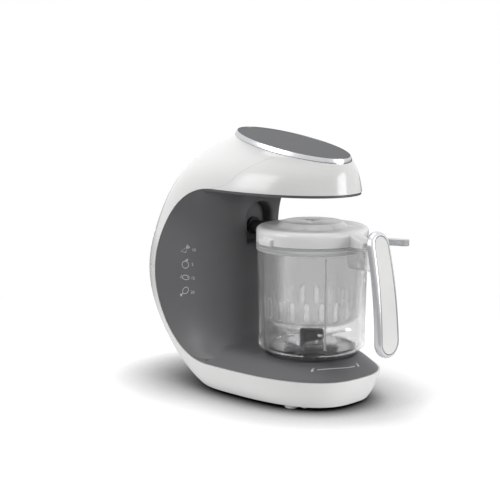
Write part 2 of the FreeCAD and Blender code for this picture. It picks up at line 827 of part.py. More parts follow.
# Head underside: the dark plate that closes the head above the bay
under_low = number(UNDERSIDE_BOTTOM)
under_rear = (spine_back(number(BAY_TOP)), under_low)
under_front = (-S["head_front"], under_low)
under_wire = outline(under_rear, under_front, S["head_widest_back"], S["head_half_width"],
                     S["head_front_power"], S["head_rear_power"], S["underside_inset"])
under_block = made("under_block", Part.Face(under_wire).extrude(V(0, 0, S["underside_thickness"])))
node("head_underside", common("head_underside", under_block, bay_fit))

# Base plate with four rubber feet and the screws that hold it
plate_inset = S["shell_wall"] + 3 * S["part_gap"]
plate_wire = base_outline(S["foot_height"], S["foot_front"], S["foot_half_width"], plate_inset)
plate_block = made("plate_block", Part.Face(plate_wire).extrude(V(0, 0, S["plate_thickness"])))
plate_pilots = []
for spot, (x, y) in enumerate(screw_places):
    plate_pilots.append(cylinder(f"plate_pilot_{spot}", "screw_radius + push_fit", "2 * plate_thickness",
                                 x, y, "foot_height - plate_thickness / 2"))
node("base_plate", cut("base_plate", plate_block, group("plate_pilots", *plate_pilots)))
feet = []
for side in ("-foot_side", "foot_side"):
    for along in ("-foot_forward", "foot_rearward"):
        feet.append(turned(f"foot_{len(feet)}", [
            ("0", "0"), ("foot_radius - foot_round", "0"), ("foot_radius", "foot_round"),
            ("foot_radius", "foot_height"), ("0", "foot_height")], side, f"{JUG_Y} + {along}"))
node("rubber_feet", group("rubber_feet", *feet))
screws = []
for spot, (x, y) in enumerate(screw_places):
    screws.append(turned(f"screw_{spot}", [
        ("0", "foot_height - screw_head_height"), ("screw_head_radius", "foot_height - screw_head_height"),
        ("screw_head_radius", "foot_height"), ("screw_radius", "foot_height"),
        ("screw_radius", "foot_height + screw_length"), ("0", "foot_height + screw_length")], x, y))
node("base_screws", group("base_screws", *screws))

# Control panel: chrome bezel, touch panel, its board and the carrier that stands on the head underside
panel_bottom = S["panel_recess"] + S["panel_thickness"]
carrier_bottom = S["bezel_height"] + S["carrier_thickness"]
bezel_skirt = oval("bezel_skirt", S["bezel_width"], S["bezel_width"], S["bezel_slope_height"], S["bezel_height"])
bezel_lip = S["bezel_width"] - S["bezel_slope_width"]
slope_rings = []
for margin, depth in ((bezel_lip, 0), (S["bezel_width"], S["bezel_slope_height"])):
    slope_ring = Part.Ellipse(V(), S["panel_half_length"] + margin, S["panel_half_width"] + margin).toShape()
    slope_ring.rotate(V(), V(0, 0, 1), 90)
    slope_ring.translate(V(0, 0, -depth))
    slope_rings.append(Part.Wire(slope_ring))
bezel_slope = made("bezel_slope", Part.makeLoft(slope_rings, True, True))
bezel_slope.Placement = panel_turn
bezel_solid = fuse("bezel_solid", bezel_skirt, bezel_slope)
bezel_seat = oval("bezel_seat", S["insert_gap"], S["insert_gap"], -1, panel_bottom)
bezel_window = oval("bezel_window", -S["bezel_flange"], -S["bezel_flange"], -1, 2 * S["bezel_height"])
node("panel_bezel", cut("panel_bezel", bezel_solid, bezel_seat, bezel_window))
node("touch_panel", oval("touch_panel", 0, 0, S["panel_recess"], panel_bottom))
board_margin = -S["touch_board_margin"]
node("touch_board", oval("touch_board", board_margin, board_margin, S["bezel_height"] - S["board_thickness"],
                         S["bezel_height"]))
carrier_side = -S["bezel_flange"] / 2
carrier_plate = oval("carrier_plate", carrier_side, carrier_side, S["bezel_height"], carrier_bottom)
posts = []
for side in (-1, 1):
    for along in (-1, 1):
        back, top = panel_point(along * S["carrier_post_spread"], (S["bezel_height"] + carrier_bottom) / 2)
        low = number(BAY_TOP) - S["seam_gap"]
        spot = V(side * S["carrier_post_side"], jug_y + back, low)
        post = Part.makeCylinder(S["carrier_post_radius"], top - low, spot)
        posts.append(made(f"carrier_post_{len(posts)}", post))
node("panel_carrier", fuse("panel_carrier", carrier_plate, *posts))

# Drive under the jug: pulley, shaft and dog coupling in two bushes held by a flanged carrier
node("drive_pulley", turned("drive_pulley", [
    ("shaft_radius + push_fit", "pulley_bottom"), ("drive_pulley_radius", "pulley_bottom"),
    ("drive_pulley_radius", "pulley_bottom + pulley_height"),
    ("drive_pulley_radius - pulley_rim", "pulley_bottom + pulley_height"),
    ("drive_pulley_radius - pulley_rim", "pulley_bottom + pulley_web"),
    ("shaft_radius + pulley_hub", "pulley_bottom + pulley_web"),
    ("shaft_radius + pulley_hub", "pulley_bottom + pulley_height"),
    ("shaft_radius + push_fit", "pulley_bottom + pulley_height")], "0", JUG_Y))
shaft_length = f"({COUPLING_BOTTOM} + coupling_floor - shaft_bottom)"
node("drive_shaft", cylinder("drive_shaft", "shaft_radius", shaft_length, "0", JUG_Y, "shaft_bottom"))
bush_radius = "(shaft_radius + bush_wall)"
carrier_radius = f"({bush_radius} + carrier_wall)"
cup_bottom = "(recess_floor - housing_wall)"
stand_top = "(recess_floor + carrier_stand)"
node("bearing_carrier", turned("bearing_carrier", [
    (bush_radius, "carrier_bottom"), (carrier_radius, "carrier_bottom"),
    (carrier_radius, f"{cup_bottom} - carrier_flange_height"),
    ("carrier_flange_radius", f"{cup_bottom} - carrier_flange_height"), ("carrier_flange_radius", cup_bottom),
    (carrier_radius, cup_bottom), (carrier_radius, stand_top), (bush_radius, stand_top)], "0", JUG_Y))
bushes = []
for bottom in ("carrier_bottom", f"{stand_top} - bush_height"):
    top = f"({bottom} + bush_height)"
    bush_ring = ring("shaft_radius + running_fit", f"{bush_radius} - push_fit", bottom, top)
    bushes.append(turned(f"bush_{len(bushes)}", bush_ring, "0", JUG_Y))
node("shaft_bushes", group("shaft_bushes", *bushes))
coupling_ring = ring("shaft_radius + push_fit", "coupling_radius", COUPLING_BOTTOM, COUPLING_TOP)
coupling_cup = turned("coupling_cup", coupling_ring, "0", JUG_Y)
coupling_socket = prism("coupling_socket", 6, "dog_radius + part_gap", "2 * coupling_height", "0", JUG_Y,
                        f"{COUPLING_BOTTOM} + coupling_floor")
node("drive_coupling", cut("drive_coupling", coupling_cup, coupling_socket))

# Motor standing in the column, with its pulley level with the drive pulley
bore = "(shaft_radius + running_fit)"
can_inside = "(motor_radius - motor_wall)"
node("motor_can", turned("motor_can", [
    (bore, "motor_bottom"), ("motor_radius", "motor_bottom"), ("motor_radius", MOTOR_TOP), (bore, MOTOR_TOP),
    (bore, f"{MOTOR_TOP} - motor_end_wall"), (can_inside, f"{MOTOR_TOP} - motor_end_wall"),
    (can_inside, "motor_bottom + motor_end_wall"), (bore, "motor_bottom + motor_end_wall")], "0", MOTOR_Y))
magnet_inside = f"({can_inside} - magnet_thickness)"
core_bottom = "(motor_bottom + motor_height / 2 - rotor_height / 2)"
core_top = "(motor_bottom + motor_height / 2 + rotor_height / 2)"
magnet_ring = turned("magnet_ring", ring(magnet_inside, f"{can_inside} - push_fit", core_bottom, core_top),
                     "0", MOTOR_Y)
magnet_slot = box("magnet_slot", "magnet_thickness", "3 * motor_radius", "motor_height",
                  "-magnet_thickness / 2", f"{MOTOR_Y} - 1.5 * motor_radius", "motor_bottom")
node("motor_magnets", cut("motor_magnets", magnet_ring, magnet_slot))
core_radius = f"({magnet_inside} - rotor_gap)"
fan_bottom = f"({MOTOR_TOP} + part_gap)"
fan_top = f"({fan_bottom} + fan_height)"
node("motor_rotor", turned("motor_rotor", [
    ("0", "shaft_bottom"), ("shaft_radius", "shaft_bottom"), ("shaft_radius", core_bottom),
    (core_radius, core_bottom), (core_radius, core_top), ("shaft_radius", core_top), ("shaft_radius", fan_top),
    ("0", fan_top)], "0", MOTOR_Y))
fan_ring = ring("shaft_radius + push_fit", "fan_radius", fan_bottom, f"{fan_bottom} + fan_disc")
fan_disc = turned("fan_disc", fan_ring, "0", MOTOR_Y)
vane_start = S["shaft_radius"] + S["vane_root"]
vane_length = S["fan_radius"] - S["vane_tip_gap"] - vane_start
vanes = []
for step in range(int(S["fan_blade_count"])):
    vane = Part.makeBox(vane_length, S["vane_width"], S["fan_height"], V(vane_start, -S["vane_width"] / 2, 0))
    vane.rotate(V(), V(0, 0, 1), 360 * step / S["fan_blade_count"])
    vanes.append(place(made(f"vane_{step}", vane), "0", MOTOR_Y, fan_bottom))
node("motor_fan", fuse("motor_fan", fan_disc, *vanes))
pulley_top = "(pulley_bottom + pulley_height)"
pulley_ring = ring("shaft_radius + push_fit", "motor_pulley_radius", "pulley_bottom", pulley_top)
node("motor_pulley", turned("motor_pulley", pulley_ring, "0", MOTOR_Y))


def belt_face(offset):
    """The loop round both pulleys, an offset away from them, as a flat face."""
    far = S["motor_back"]
    large = S["drive_pulley_radius"] + offset
    small = S["motor_pulley_radius"] + offset
    lean = math.asin((large - small) / far)
    side = V(math.cos(lean), math.sin(lean), 0)
    other = V(-math.cos(lean), math.sin(lean), 0)
    center = V(0, far, 0)
    edges = [Part.Arc(side * large, V(0, -large, 0), other * large).toShape()]
    edges.append(Part.makeLine(other * large, center + other * small))
    edges.append(Part.Arc(center + other * small, center + V(0, small, 0), center + side * small).toShape())
    edges.append(Part.makeLine(center + side * small, side * large))
    return Part.Face(Part.Wire(edges))


belt_loop = belt_face(S["belt_gap"] + S["belt_thickness"]).cut(belt_face(S["belt_gap"]))
belt = made("drive_belt", belt_loop.extrude(V(0, 0, S["belt_width"])))
node("drive_belt", place(belt, "0", JUG_Y, "pulley_bottom + (pulley_height - belt_width) / 2"))

# Chassis: motor plate on four posts, two cheeks and the shelf for the boiler, in one moulding
cheek_height = "(shelf_height - motor_bottom)"
mount_bottom = "(motor_bottom - chassis_thickness)"
chassis_y = f"({MOTOR_Y} - chassis_half_depth)"
chassis_parts = [
    box("motor_plate", "2 * chassis_half_width", "2 * chassis_half_depth", "chassis_thickness",
        "-chassis_half_width", chassis_y, mount_bottom),
    box("boiler_shelf", "2 * chassis_half_width", "shelf_rear - motor_back + chassis_half_depth",
        "chassis_thickness", "-chassis_half_width", chassis_y, "shelf_height - chassis_thickness")]
for side in ("-chassis_half_width", "chassis_half_width - chassis_thickness"):
    chassis_parts.append(box(f"cheek_{len(chassis_parts)}", "chassis_thickness", "2 * chassis_half_depth",
                             cheek_height, side, chassis_y, "motor_bottom"))
post_height = f"({mount_bottom} - {PLATE_TOP})"
for side in ("-chassis_post_side", "chassis_post_side"):
    for along in ("-chassis_post_spread", "chassis_post_spread"):
        chassis_parts.append(cylinder(f"chassis_post_{len(chassis_parts)}", "chassis_post_radius", post_height,
                                      side, f"{MOTOR_Y} + {along}", PLATE_TOP))
BOILER_Y = f"({JUG_Y} + boiler_back)"
motor_window = cylinder("motor_window", "1.5 * shaft_radius", "4 * chassis_thickness", "0", MOTOR_Y,
                        f"{mount_bottom} - chassis_thickness")
heat_window = cylinder("heat_window", "heater_radius - heater_tube_radius", "4 * chassis_thickness", "0",
                       BOILER_Y, "shelf_height - 2 * chassis_thickness")
node("chassis", cut("chassis", fuse("chassis_solid", *chassis_parts), motor_window, heat_window))

# Boiler on the shelf, heated from below, with its lid and thermostat
lid_bottom = f"({BOILER_BOTTOM} + boiler_height)"
boiler_inside = "(boiler_radius - boiler_wall)"
node("boiler_body", turned("boiler_body", [
    (boiler_inside, "shelf_height"), ("boiler_radius", "shelf_height"), ("boiler_radius", lid_bottom),
    (boiler_inside, lid_bottom), (boiler_inside, f"{BOILER_BOTTOM} + boiler_wall"),
    ("0", f"{BOILER_BOTTOM} + boiler_wall"), ("0", BOILER_BOTTOM), (boiler_inside, BOILER_BOTTOM)],
    "0", BOILER_Y))
heater = doc.addObject("Part::Torus", "heating_element")
tie(heater, Radius1="heater_radius", Radius2="heater_tube_radius")
node("heating_element", place(heater, "0", BOILER_Y, f"{BOILER_BOTTOM} - heater_tube_radius"))
steam_y = f"({JUG_Y} + column_nose_back + niche_depth + housing_wall + 4 * hose_radius)"
feed_y = f"({BOILER_Y} + hose_radius)"
boiler_cover = turned("boiler_cover", ring("0", "boiler_radius", lid_bottom, BOILER_TOP), "0", BOILER_Y)
ports = []
for port_x, port_y in (("0", steam_y), ("boiler_radius / 2", feed_y)):
    ports.append(cylinder(f"port_{len(ports)}", "hose_bore", "2 * boiler_lid_height", port_x, port_y,
                          f"{BOILER_TOP} - 1.5 * boiler_lid_height"))
node("boiler_lid", cut("boiler_lid", boiler_cover, *ports))
node("thermostat", cylinder("thermostat", "thermostat_radius", "thermostat_height", "-boiler_radius / 2",
                            BOILER_Y, BOILER_TOP))

# Steam outlet in the niche
nozzle_front = f"({JUG_Y} + lid_radius + nozzle_gap)"
niche_back = f"({JUG_Y} + column_nose_back + niche_depth)"
nozzle_end = f"({niche_back} + housing_wall + nozzle_tail)"
nozzle_length = f"({nozzle_end} - {nozzle_front})"
nozzle_tube = cylinder("nozzle_tube", "nozzle_radius", nozzle_length, "0", nozzle_front, "nozzle_height", "Y")
nozzle_way = cylinder("nozzle_way", "nozzle_bore", nozzle_length, "0", nozzle_front, "nozzle_height", "Y")
node("steam_nozzle", cut("steam_nozzle", nozzle_tube, nozzle_way))
seal_disc = cylinder("seal_disc", "nozzle_radius + nozzle_seal_wall", "nozzle_seal_wall", "0",
                     f"{niche_back} - nozzle_seal_wall", "nozzle_height", "Y")
seal_way = cylinder("seal_way", "nozzle_radius + push_fit", "3 * nozzle_seal_wall", "0",
                    f"{niche_back} - 2 * nozzle_seal_wall", "nozzle_height", "Y")
node("nozzle_seal", cut("nozzle_seal", seal_disc, seal_way))


def tube(name, points, bend):
    """A hose along straight runs joined by tangent arcs; points are expressions of x, y and z."""
    path = [V(*(number(value) for value in point)) for point in points]
    edges = []
    start = path[0]
    for before, corner, after in zip(path, path[1:], path[2:]):
        come = (corner - before).normalize()
        go = (after - corner).normalize()
        turn = come.getAngle(go)
        reach = bend * math.tan(turn / 2)
        first = corner - come * reach
        last = corner + go * reach
        inward = (go - come).normalize()
        middle = corner + inward * (bend / math.cos(turn / 2) - bend)
        edges.append(Part.makeLine(start, first))
        edges.append(Part.Arc(first, middle, last).toShape())
        start = last
    edges.append(Part.makeLine(start, path[-1]))
    spine = Part.Wire(edges)
    heading = path[1] - path[0]
    solids = []
    for radius in (S["hose_radius"], S["hose_bore"]):
        profile = Part.Wire(Part.Circle(path[0], heading, radius).toShape())
        solids.append(spine.makePipeShell([profile], True, False))
    return node(name, made(name, solids[0].cut(solids[1])))


# Silicone hoses: steam to the nozzle, tank to pump, pump to boiler
tube("steam_tube", [("0", nozzle_end, "nozzle_height"), ("0", steam_y, "nozzle_height"),
                    ("0", steam_y, BOILER_TOP)], S["steam_bend"])
pump_y = f"({JUG_Y} + pump_front_back)"
pump_top = "(pump_height + pump_radius - hose_seat)"
socket_y = f"({JUG_Y} + tank_front_back - part_gap - socket_length)"
intake_y = f"({feed_y} + 3 * hose_radius)"
tube("feed_hose", [("socket_side", socket_y, "socket_height"), ("socket_side", intake_y, "socket_height"),
                   ("socket_side", intake_y, pump_top)], 3 * S["hose_radius"])
hose_high = f"({BOILER_TOP} + 5 * hose_radius)"
tube("pump_hose", [("socket_side", feed_y, pump_top), ("socket_side", feed_y, hose_high),
                   ("boiler_radius / 2", feed_y, hose_high), ("boiler_radius / 2", feed_y, BOILER_TOP)],
     2.5 * S["hose_radius"])
pump_barrel = cylinder("pump_barrel", "pump_radius", "pump_length", "socket_side", pump_y, "pump_height", "Y")
pump_necks = []
for neck_y in (intake_y, feed_y):
    pump_necks.append(cylinder(f"pump_neck_{len(pump_necks)}", "hose_radius + part_gap", "2 * pump_radius",
                               "socket_side", neck_y, pump_top))
node("water_pump", cut("water_pump", pump_barrel, *pump_necks))
socket_block = box("socket_block", "3 * socket_radius", "socket_length",
                   "socket_height + socket_radius - shelf_height", "socket_side - 2 * socket_radius", socket_y,
                   "shelf_height")
socket_bore = cylinder("socket_bore", "spigot_radius + spigot_clearance", "socket_length", "socket_side",
                       f"{socket_y} + socket_floor", "socket_height", "Y")
socket_way = cylinder("socket_way", "hose_bore", "2 * socket_length", "socket_side",
                      f"{socket_y} - socket_floor", "socket_height", "Y")
node("inlet_socket", cut("inlet_socket", socket_block, socket_bore, socket_way))

# Electrics: power board on the left cheek with its parts, interlock switch under the deck, cord gland
board_y = f"({JUG_Y} + power_board_back)"
node("power_board", box("power_board", "board_thickness", "power_board_length", "power_board_height",
                        "-chassis_half_width - board_thickness", board_y, "power_board_bottom"))
board_face = "(-chassis_half_width - board_thickness)"
transformer = box("transformer", "transformer_depth", "transformer_length", "transformer_height",
                  f"{board_face} - transformer_depth", f"{board_y} + parts_back",
                  "power_board_bottom + transformer_rise")
relay = box("relay", "relay_depth", "relay_length", "relay_height", f"{board_face} - relay_depth",
            f"{board_y} + parts_back", "power_board_bottom + relay_rise")
capacitor = cylinder("capacitor", "capacitor_radius", "capacitor_length", f"{board_face} - capacitor_radius",
                     f"{board_y} + capacitor_back", "power_board_bottom + capacitor_rise")
node("board_parts", group("board_parts", transformer, relay, capacitor))
switch_y = f"({JUG_Y} + recess_radius + housing_wall)"
node("interlock_switch", box("interlock_switch", "switch_width", "switch_depth", "switch_height",
                             "-switch_width / 2", switch_y, "recess_floor - switch_height"))
gland_start = f"({gland_y} - 3 * shell_wall)"
gland_body = cylinder("gland_body", "gland_radius", "gland_proud + 3 * shell_wall", "0", gland_start,
                      "gland_height", "Y")
gland_stop = cylinder("gland_stop", "gland_flange_radius", "gland_flange", "0", f"{gland_start} - gland_flange",
                      "gland_height", "Y")
gland_way = cylinder("gland_way", "gland_radius / 2", "12 * shell_wall", "0", f"{gland_start} - 3 * shell_wall",
                     "gland_height", "Y")
node("cord_gland", cut("cord_gland", fuse("gland_solid", gland_body, gland_stop), gland_way, lower_shell))

# Twist ring in the deck's recess, with open notches for the jug's lugs
ring_outside = "(recess_radius - part_gap)"
ring_inside = "(collar_radius + part_gap)"
ring_bottom = "(recess_floor + ring_bottom_gap)"
ring_top = "(deck_height - part_gap)"
ring_body = turned("ring_body", [
    ("collar_radius - collar_wall", ring_bottom), (ring_outside, ring_bottom), (ring_outside, ring_top),
    (ring_inside, ring_top), (ring_inside, "collar_bottom - part_gap"),
    ("collar_radius - collar_wall", "collar_bottom - part_gap")], "0", JUG_Y)


def lugs(name, grow, height):
    """The jug's lugs round the collar, grown by a clearance and as tall as given."""
    items = []
    for step in range(int(S["lug_count"])):
        width = S["lug_width"] + 2 * grow
        reach = S["recess_radius"] - 2 * S["part_gap"] + 3 * grow
        inside = S["collar_radius"] - S["lug_root"]
        lug = Part.makeBox(width, reach - inside, height, V(-width / 2, inside, -grow))
        lug.rotate(V(), V(0, 0, 1), 360 * (step + 0.5) / S["lug_count"])
        items.append(place(made(f"{name}_{step}", lug), "0", JUG_Y, "collar_bottom + part_gap"))
    return items


lug_notches = lugs("lug_notch", S["part_gap"], S["deck_height"])
node("interlock_ring", cut("interlock_ring", ring_body, group("lug_notches", *lug_notches)))

# Jug: clear beaker with a rim band, its collar with lugs, and the handle on a bracket
collar_section = ring("collar_radius - collar_wall", "collar_radius", "collar_bottom", "jug_bottom")
collar_ring = turned("collar_ring", collar_section, "0", JUG_Y)
lug_limit = cylinder("lug_limit", "recess_radius - 2 * part_gap", "jug_bottom", "0", JUG_Y, "0")
lug_solid = common("lug_solid", group("lug_blocks", *lugs("lug", 0, S["lug_height"])), lug_limit)
node("jug_collar", fuse("jug_collar", collar_ring, lug_solid))
rim_inside = "(basket_flange_radius + part_gap)"
beaker = turned("beaker", [
    ("seal_radius", "jug_bottom"), ("jug_foot_radius - jug_foot_round", "jug_bottom"),
    ("jug_foot_radius", "jug_bottom + jug_foot_round"), ("jug_radius", BAND_BOTTOM),
    ("rim_band_radius", BAND_BOTTOM), ("rim_band_radius", "jug_top"), (rim_inside, "jug_top"),
    (rim_inside, BAND_BOTTOM), ("jug_radius - jug_wall", BAND_BOTTOM),
    ("jug_foot_radius - jug_wall", JUG_FLOOR), ("seal_radius", JUG_FLOOR)], "0", JUG_Y)


def obround(half, low, high, front, back):
    """An upright round-ended block between two planes across Y; its end circles stand at low and high."""
    edges = [Part.makeLine(V(half, front, low), V(half, front, high))]
    edges.append(Part.Arc(V(half, front, high), V(0, front, high + half), V(-half, front, high)).toShape())
    edges.append(Part.makeLine(V(-half, front, high), V(-half, front, low)))
    edges.append(Part.Arc(V(-half, front, low), V(0, front, low - half), V(half, front, low)).toShape())
    return Part.Face(Part.Wire(edges)).extrude(V(0, back - front, 0))


bow = S["handle_bow"]
lean = math.radians(S["handle_lean"])
handle_front = jug_y - S["handle_reach"]
bow_center = V(0, handle_front + bow * math.cos(lean), S["handle_bottom"] - bow * math.sin(lean))


def handle_outline(margin):
    """A long block along Y with the handle's outline, narrower at the top, made smaller by a margin."""
    low_half = S["handle_half_width"] - margin
    top_half = S["handle_top_half_width"] - margin
    low = S["handle_bottom"] + margin + low_half
    high = S["handle_bottom"] + S["handle_length"] - margin - top_half
    taper = math.asin((low_half - top_half) / (high - low))
    front = handle_front - S["handle_thickness"]
    low_side = V(low_half * math.cos(taper), front, low + low_half * math.sin(taper))
    top_side = V(top_half * math.cos(taper), front, high + top_half * math.sin(taper))
    low_mirror = V(-low_side.x, front, low_side.z)
    top_mirror = V(-top_side.x, front, top_side.z)
    edges = [Part.makeLine(low_side, top_side)]
    edges.append(Part.Arc(top_side, V(0, front, high + top_half), top_mirror).toShape())
    edges.append(Part.makeLine(top_mirror, low_mirror))
    edges.append(Part.Arc(low_mirror, V(0, front, low - low_half), low_side).toShape())
    return Part.Face(Part.Wire(edges)).extrude(V(0, S["handle_reach"] - S["jug_radius"], 0))


def slab(margin, front, back):
    """The handle's bowed slab made smaller by a margin, between two depths behind its outer face."""
    half = 2 * S["handle_half_width"]
    start = bow_center - V(half, 0, 0)
    shell = Part.makeCylinder(bow - front, 2 * half, start, V(1, 0, 0))
    shell = shell.cut(Part.makeCylinder(bow - back, 2 * half, start, V(1, 0, 0)))
    return handle_outline(margin).common(shell)


handle_slab = slab(0, 0, S["handle_thickness"])
handle_block = made("handle_block", handle_slab.makeFillet(S["handle_round"], handle_slab.Edges))
insert_pocket = made("insert_pocket", slab(S["insert_margin"], -S["insert_depth"], S["insert_depth"]))
insert_margin = S["insert_margin"] + S["insert_gap"]
screw_z = "((bracket_bottom + jug_top) / 2)"
handle_y = f"({JUG_Y} - handle_reach)"
handle_screw_hole = cylinder("handle_screw_hole", "handle_screw_radius + push_fit", "3 * handle_thickness", "0",
                             handle_y, screw_z, "Y")
node("handle_frame", cut("handle_frame", handle_block, insert_pocket, handle_screw_hole))
node("handle_insert", made("handle_insert", slab(insert_margin, 0, S["insert_depth"])))
bracket_rise = (S["bracket_bottom"] + S["jug_top"]) / 2 - bow_center.z
bracket_start = jug_y - bow_center.y + math.sqrt((bow - S["handle_thickness"] / 2) ** 2 - bracket_rise ** 2)
bracket_solid = Part.makeBox(2 * S["bracket_half_width"], bracket_start - S["jug_radius"] + S["jug_wall"] / 2,
                             S["jug_top"] - S["bracket_bottom"],
                             V(-S["bracket_half_width"], jug_y - bracket_start, S["bracket_bottom"]))
low_edges = [edge for edge in bracket_solid.Edges if edge.BoundBox.YLength > S["jug_wall"]
             and edge.BoundBox.ZMax < S["bracket_bottom"] + S["jug_wall"]]
bracket_block = made("bracket_block", bracket_solid.makeFillet(S["bracket_round"], low_edges))
bracket = cut("bracket", bracket_block, handle_block, handle_screw_hole)
node("jug_body", fuse("jug_body", beaker, bracket))
screw_rod = cylinder("screw_rod", "handle_screw_radius", "3 * handle_thickness", "0", handle_y, screw_z, "Y")
screw_room = made("screw_room", slab(0, S["insert_depth"], 4 * S["handle_thickness"]))
node("handle_screw", common("handle_screw", screw_rod, screw_room))

# Blade set: seal in the jug floor, shaft with its dog, two blades and the hub
shaft_fit = "(blade_shaft_radius + running_fit)"
seal_ring = ring(shaft_fit, "seal_radius - push_fit", "jug_bottom", JUG_FLOOR)
node("blade_seal", turned("blade_seal", seal_ring, "0", JUG_Y))
blade_shaft_length = f"(hub_bottom + hub_height / 2 - {DOG_BOTTOM})"
node("blade_shaft", cylinder("blade_shaft", "blade_shaft_radius", blade_shaft_length, "0", JUG_Y, DOG_BOTTOM))
dog_block = prism("dog_block", 6, "dog_radius", "dog_height", "0", JUG_Y, DOG_BOTTOM)
dog_bore = cylinder("dog_bore", "blade_shaft_radius + push_fit", "3 * dog_height", "0", JUG_Y,
                    f"{DOG_BOTTOM} - dog_height")
node("blade_dog", cut("blade_dog", dog_block, dog_bore))


def blade(name, bottom, angle, pitch):
    """Two curved arms on a pierced disc, the arms lifted by a pitch."""
    thick = S["blade_thickness"]
    root, tip, half = S["hub_radius"] - S["blade_root_inset"], S["blade_reach"], S["blade_width"] / 2
    belly = S["blade_curve"] * tip
    solid = Part.makeCylinder(root + thick, thick)
    for turn in (angle, angle + 180):
        edges = [Part.makeLine(V(root, half, 0), V(root, -half, 0))]
        edges.append(Part.Arc(V(root, -half, 0), V(belly, -half, 0), V(tip, half, 0)).toShape())
        edges.append(Part.Arc(V(tip, half, 0), V(belly, half / 2, 0), V(root, half, 0)).toShape())
        arm = Part.Face(Part.Wire(edges)).extrude(V(0, 0, thick))
        arm.rotate(V(root, 0, 0), V(0, 1, 0), -pitch)
        arm.rotate(V(), V(0, 0, 1), turn)
        solid = solid.fuse(arm)
    bore = Part.makeCylinder(S["blade_shaft_radius"] + S["push_fit"], 8 * thick, V(0, 0, -4 * thick))
    return place(made(name, solid.cut(bore)), "0", JUG_Y, bottom)


node("blade_lower", blade("blade_lower", "hub_bottom - blade_thickness", S["blade_lower_angle"], 0))
blade_upper = blade("blade_upper", "hub_bottom + hub_height / 3", S["blade_upper_angle"], S["blade_pitch"])
node("blade_upper", blade_upper)
hub_bore = "(blade_shaft_radius + push_fit)"
hub_middle = "(hub_bottom + hub_height / 2)"
hub_top = "(hub_bottom + hub_height)"
hub_solid = turned("hub_solid", [
    (hub_bore, "hub_bottom"), ("hub_radius", "hub_bottom"), ("hub_radius", f"{hub_top} - hub_round"),
    *quarter(("hub_radius", f"{hub_top} - hub_round"), ("hub_radius - hub_round", hub_top)),
    ("0", hub_top), ("0", hub_middle), (hub_bore, hub_middle)], "0", JUG_Y)
node("blade_hub", cut("blade_hub", hub_solid, blade_upper))

# Steam basket hung on the jug's ledge, with a ring of slots and a lifting bar through the lid's skirt
basket_low = f"({BAND_BOTTOM} + part_gap)"
basket_top = f"({basket_low} + basket_flange_height)"
basket_flat = "(basket_foot_radius - basket_foot_round)"
basket_bend = "(basket_floor + basket_foot_round)"
basket_cup = turned("basket_cup", [
    ("0", "basket_floor"), (basket_flat, "basket_floor"), ("basket_foot_radius", basket_bend),
    ("basket_radius", basket_low), ("basket_flange_radius", basket_low), ("basket_flange_radius", basket_top),
    ("basket_radius - basket_wall", basket_top), ("basket_foot_radius - basket_wall", basket_bend),
    (f"{basket_flat} - basket_wall / 2", "basket_floor + basket_wall"), ("0", "basket_floor + basket_wall")],
    "0", JUG_Y)
slots = []
slot_half = S["basket_slot_width"] / 2
slot_front = S["basket_foot_radius"] - 5 * S["basket_wall"]
slot_top = S["basket_slot_height"] - slot_half
for step in range(int(S["basket_slot_count"])):
    slot = obround(slot_half, slot_half, slot_top, slot_front, 2 * S["basket_radius"])
    slot.rotate(V(), V(0, 0, 1), 360 * step / S["basket_slot_count"])
    slots.append(place(made(f"basket_slot_{step}", slot), "0", JUG_Y, "basket_slot_bottom"))
bar_low = number(LID_BOTTOM)
bar_root = S["basket_flange_radius"] - S["bar_root_inset"]


def bar(name, grow, low, root, reach):
    """A round-ended bar pointing out from the basket's rim, grown by a clearance."""
    half = S["bar_width"] / 2 + grow
    height = S["bar_height"] + bar_low - low + 2 * grow
    solid = Part.makeBox(2 * half, reach - half - root, height, V(-half, half - reach, 0))
    solid = solid.fuse(Part.makeCylinder(half, height, V(0, half - reach, 0)))
    solid.rotate(V(), V(0, 0, 1), S["bar_angle"])
    return place(made(name, solid), "0", JUG_Y, str(low))


lift_bar = bar("lift_bar", 0, bar_low, bar_root, S["bar_reach"])
post_low = number(f"{basket_top} - basket_flange_height / 2")
bar_post = bar("bar_post", 0, post_low, bar_root, S["basket_flange_radius"] + S["bar_width"])
post_limit = cylinder("post_limit", "basket_flange_radius", "2 * jug_top", "0", JUG_Y, "0")
basket_open = cut("basket_open", basket_cup, group("basket_slots", *slots))
node("steam_basket", fuse("steam_basket", basket_open, lift_bar, common("bar_foot", bar_post, post_limit)))

# Lid: a turned cover with a plug, a notch for the basket's bar, a steam port, a side tab and a front flap
skirt_top = f"({LID_BOTTOM} + lid_skirt_height)"
skirt_inside = "(lid_radius - lid_wall)"
roof = f"({LID_SHOULDER_TOP} - lid_wall)"
lid_cover = turned("lid_cover", [
    (skirt_inside, LID_BOTTOM), ("lid_radius", LID_BOTTOM), ("lid_radius", skirt_top),
    *quarter(("lid_radius", skirt_top), ("lid_radius - lid_shoulder", LID_SHOULDER_TOP)),
    ("lid_disc_radius + lid_disc_flare", LID_SHOULDER_TOP), ("lid_disc_radius", f"{LID_TOP} - lid_edge"),
    ("lid_disc_radius - lid_edge", LID_TOP),
    ("lid_hole_radius", LID_TOP), ("lid_hole_radius", f"{LID_TOP} - lid_wall"),
    ("lid_disc_radius - lid_wall", f"{LID_TOP} - lid_wall"), ("lid_disc_radius - lid_wall", roof),
    ("lid_plug_radius - lid_wall", roof), ("lid_plug_radius - lid_wall", f"{LID_BOTTOM} - lid_plug_height"),
    ("lid_plug_radius", f"{LID_BOTTOM} - lid_plug_height"), ("lid_plug_radius", roof),
    ("lid_radius - lid_shoulder", roof), (skirt_inside, f"{skirt_top} - lid_edge")], "0", JUG_Y)
tab_corner = V(S["lid_edge"] - S["lid_radius"] - S["tab_depth"], -S["tab_length"] / 2, 0)
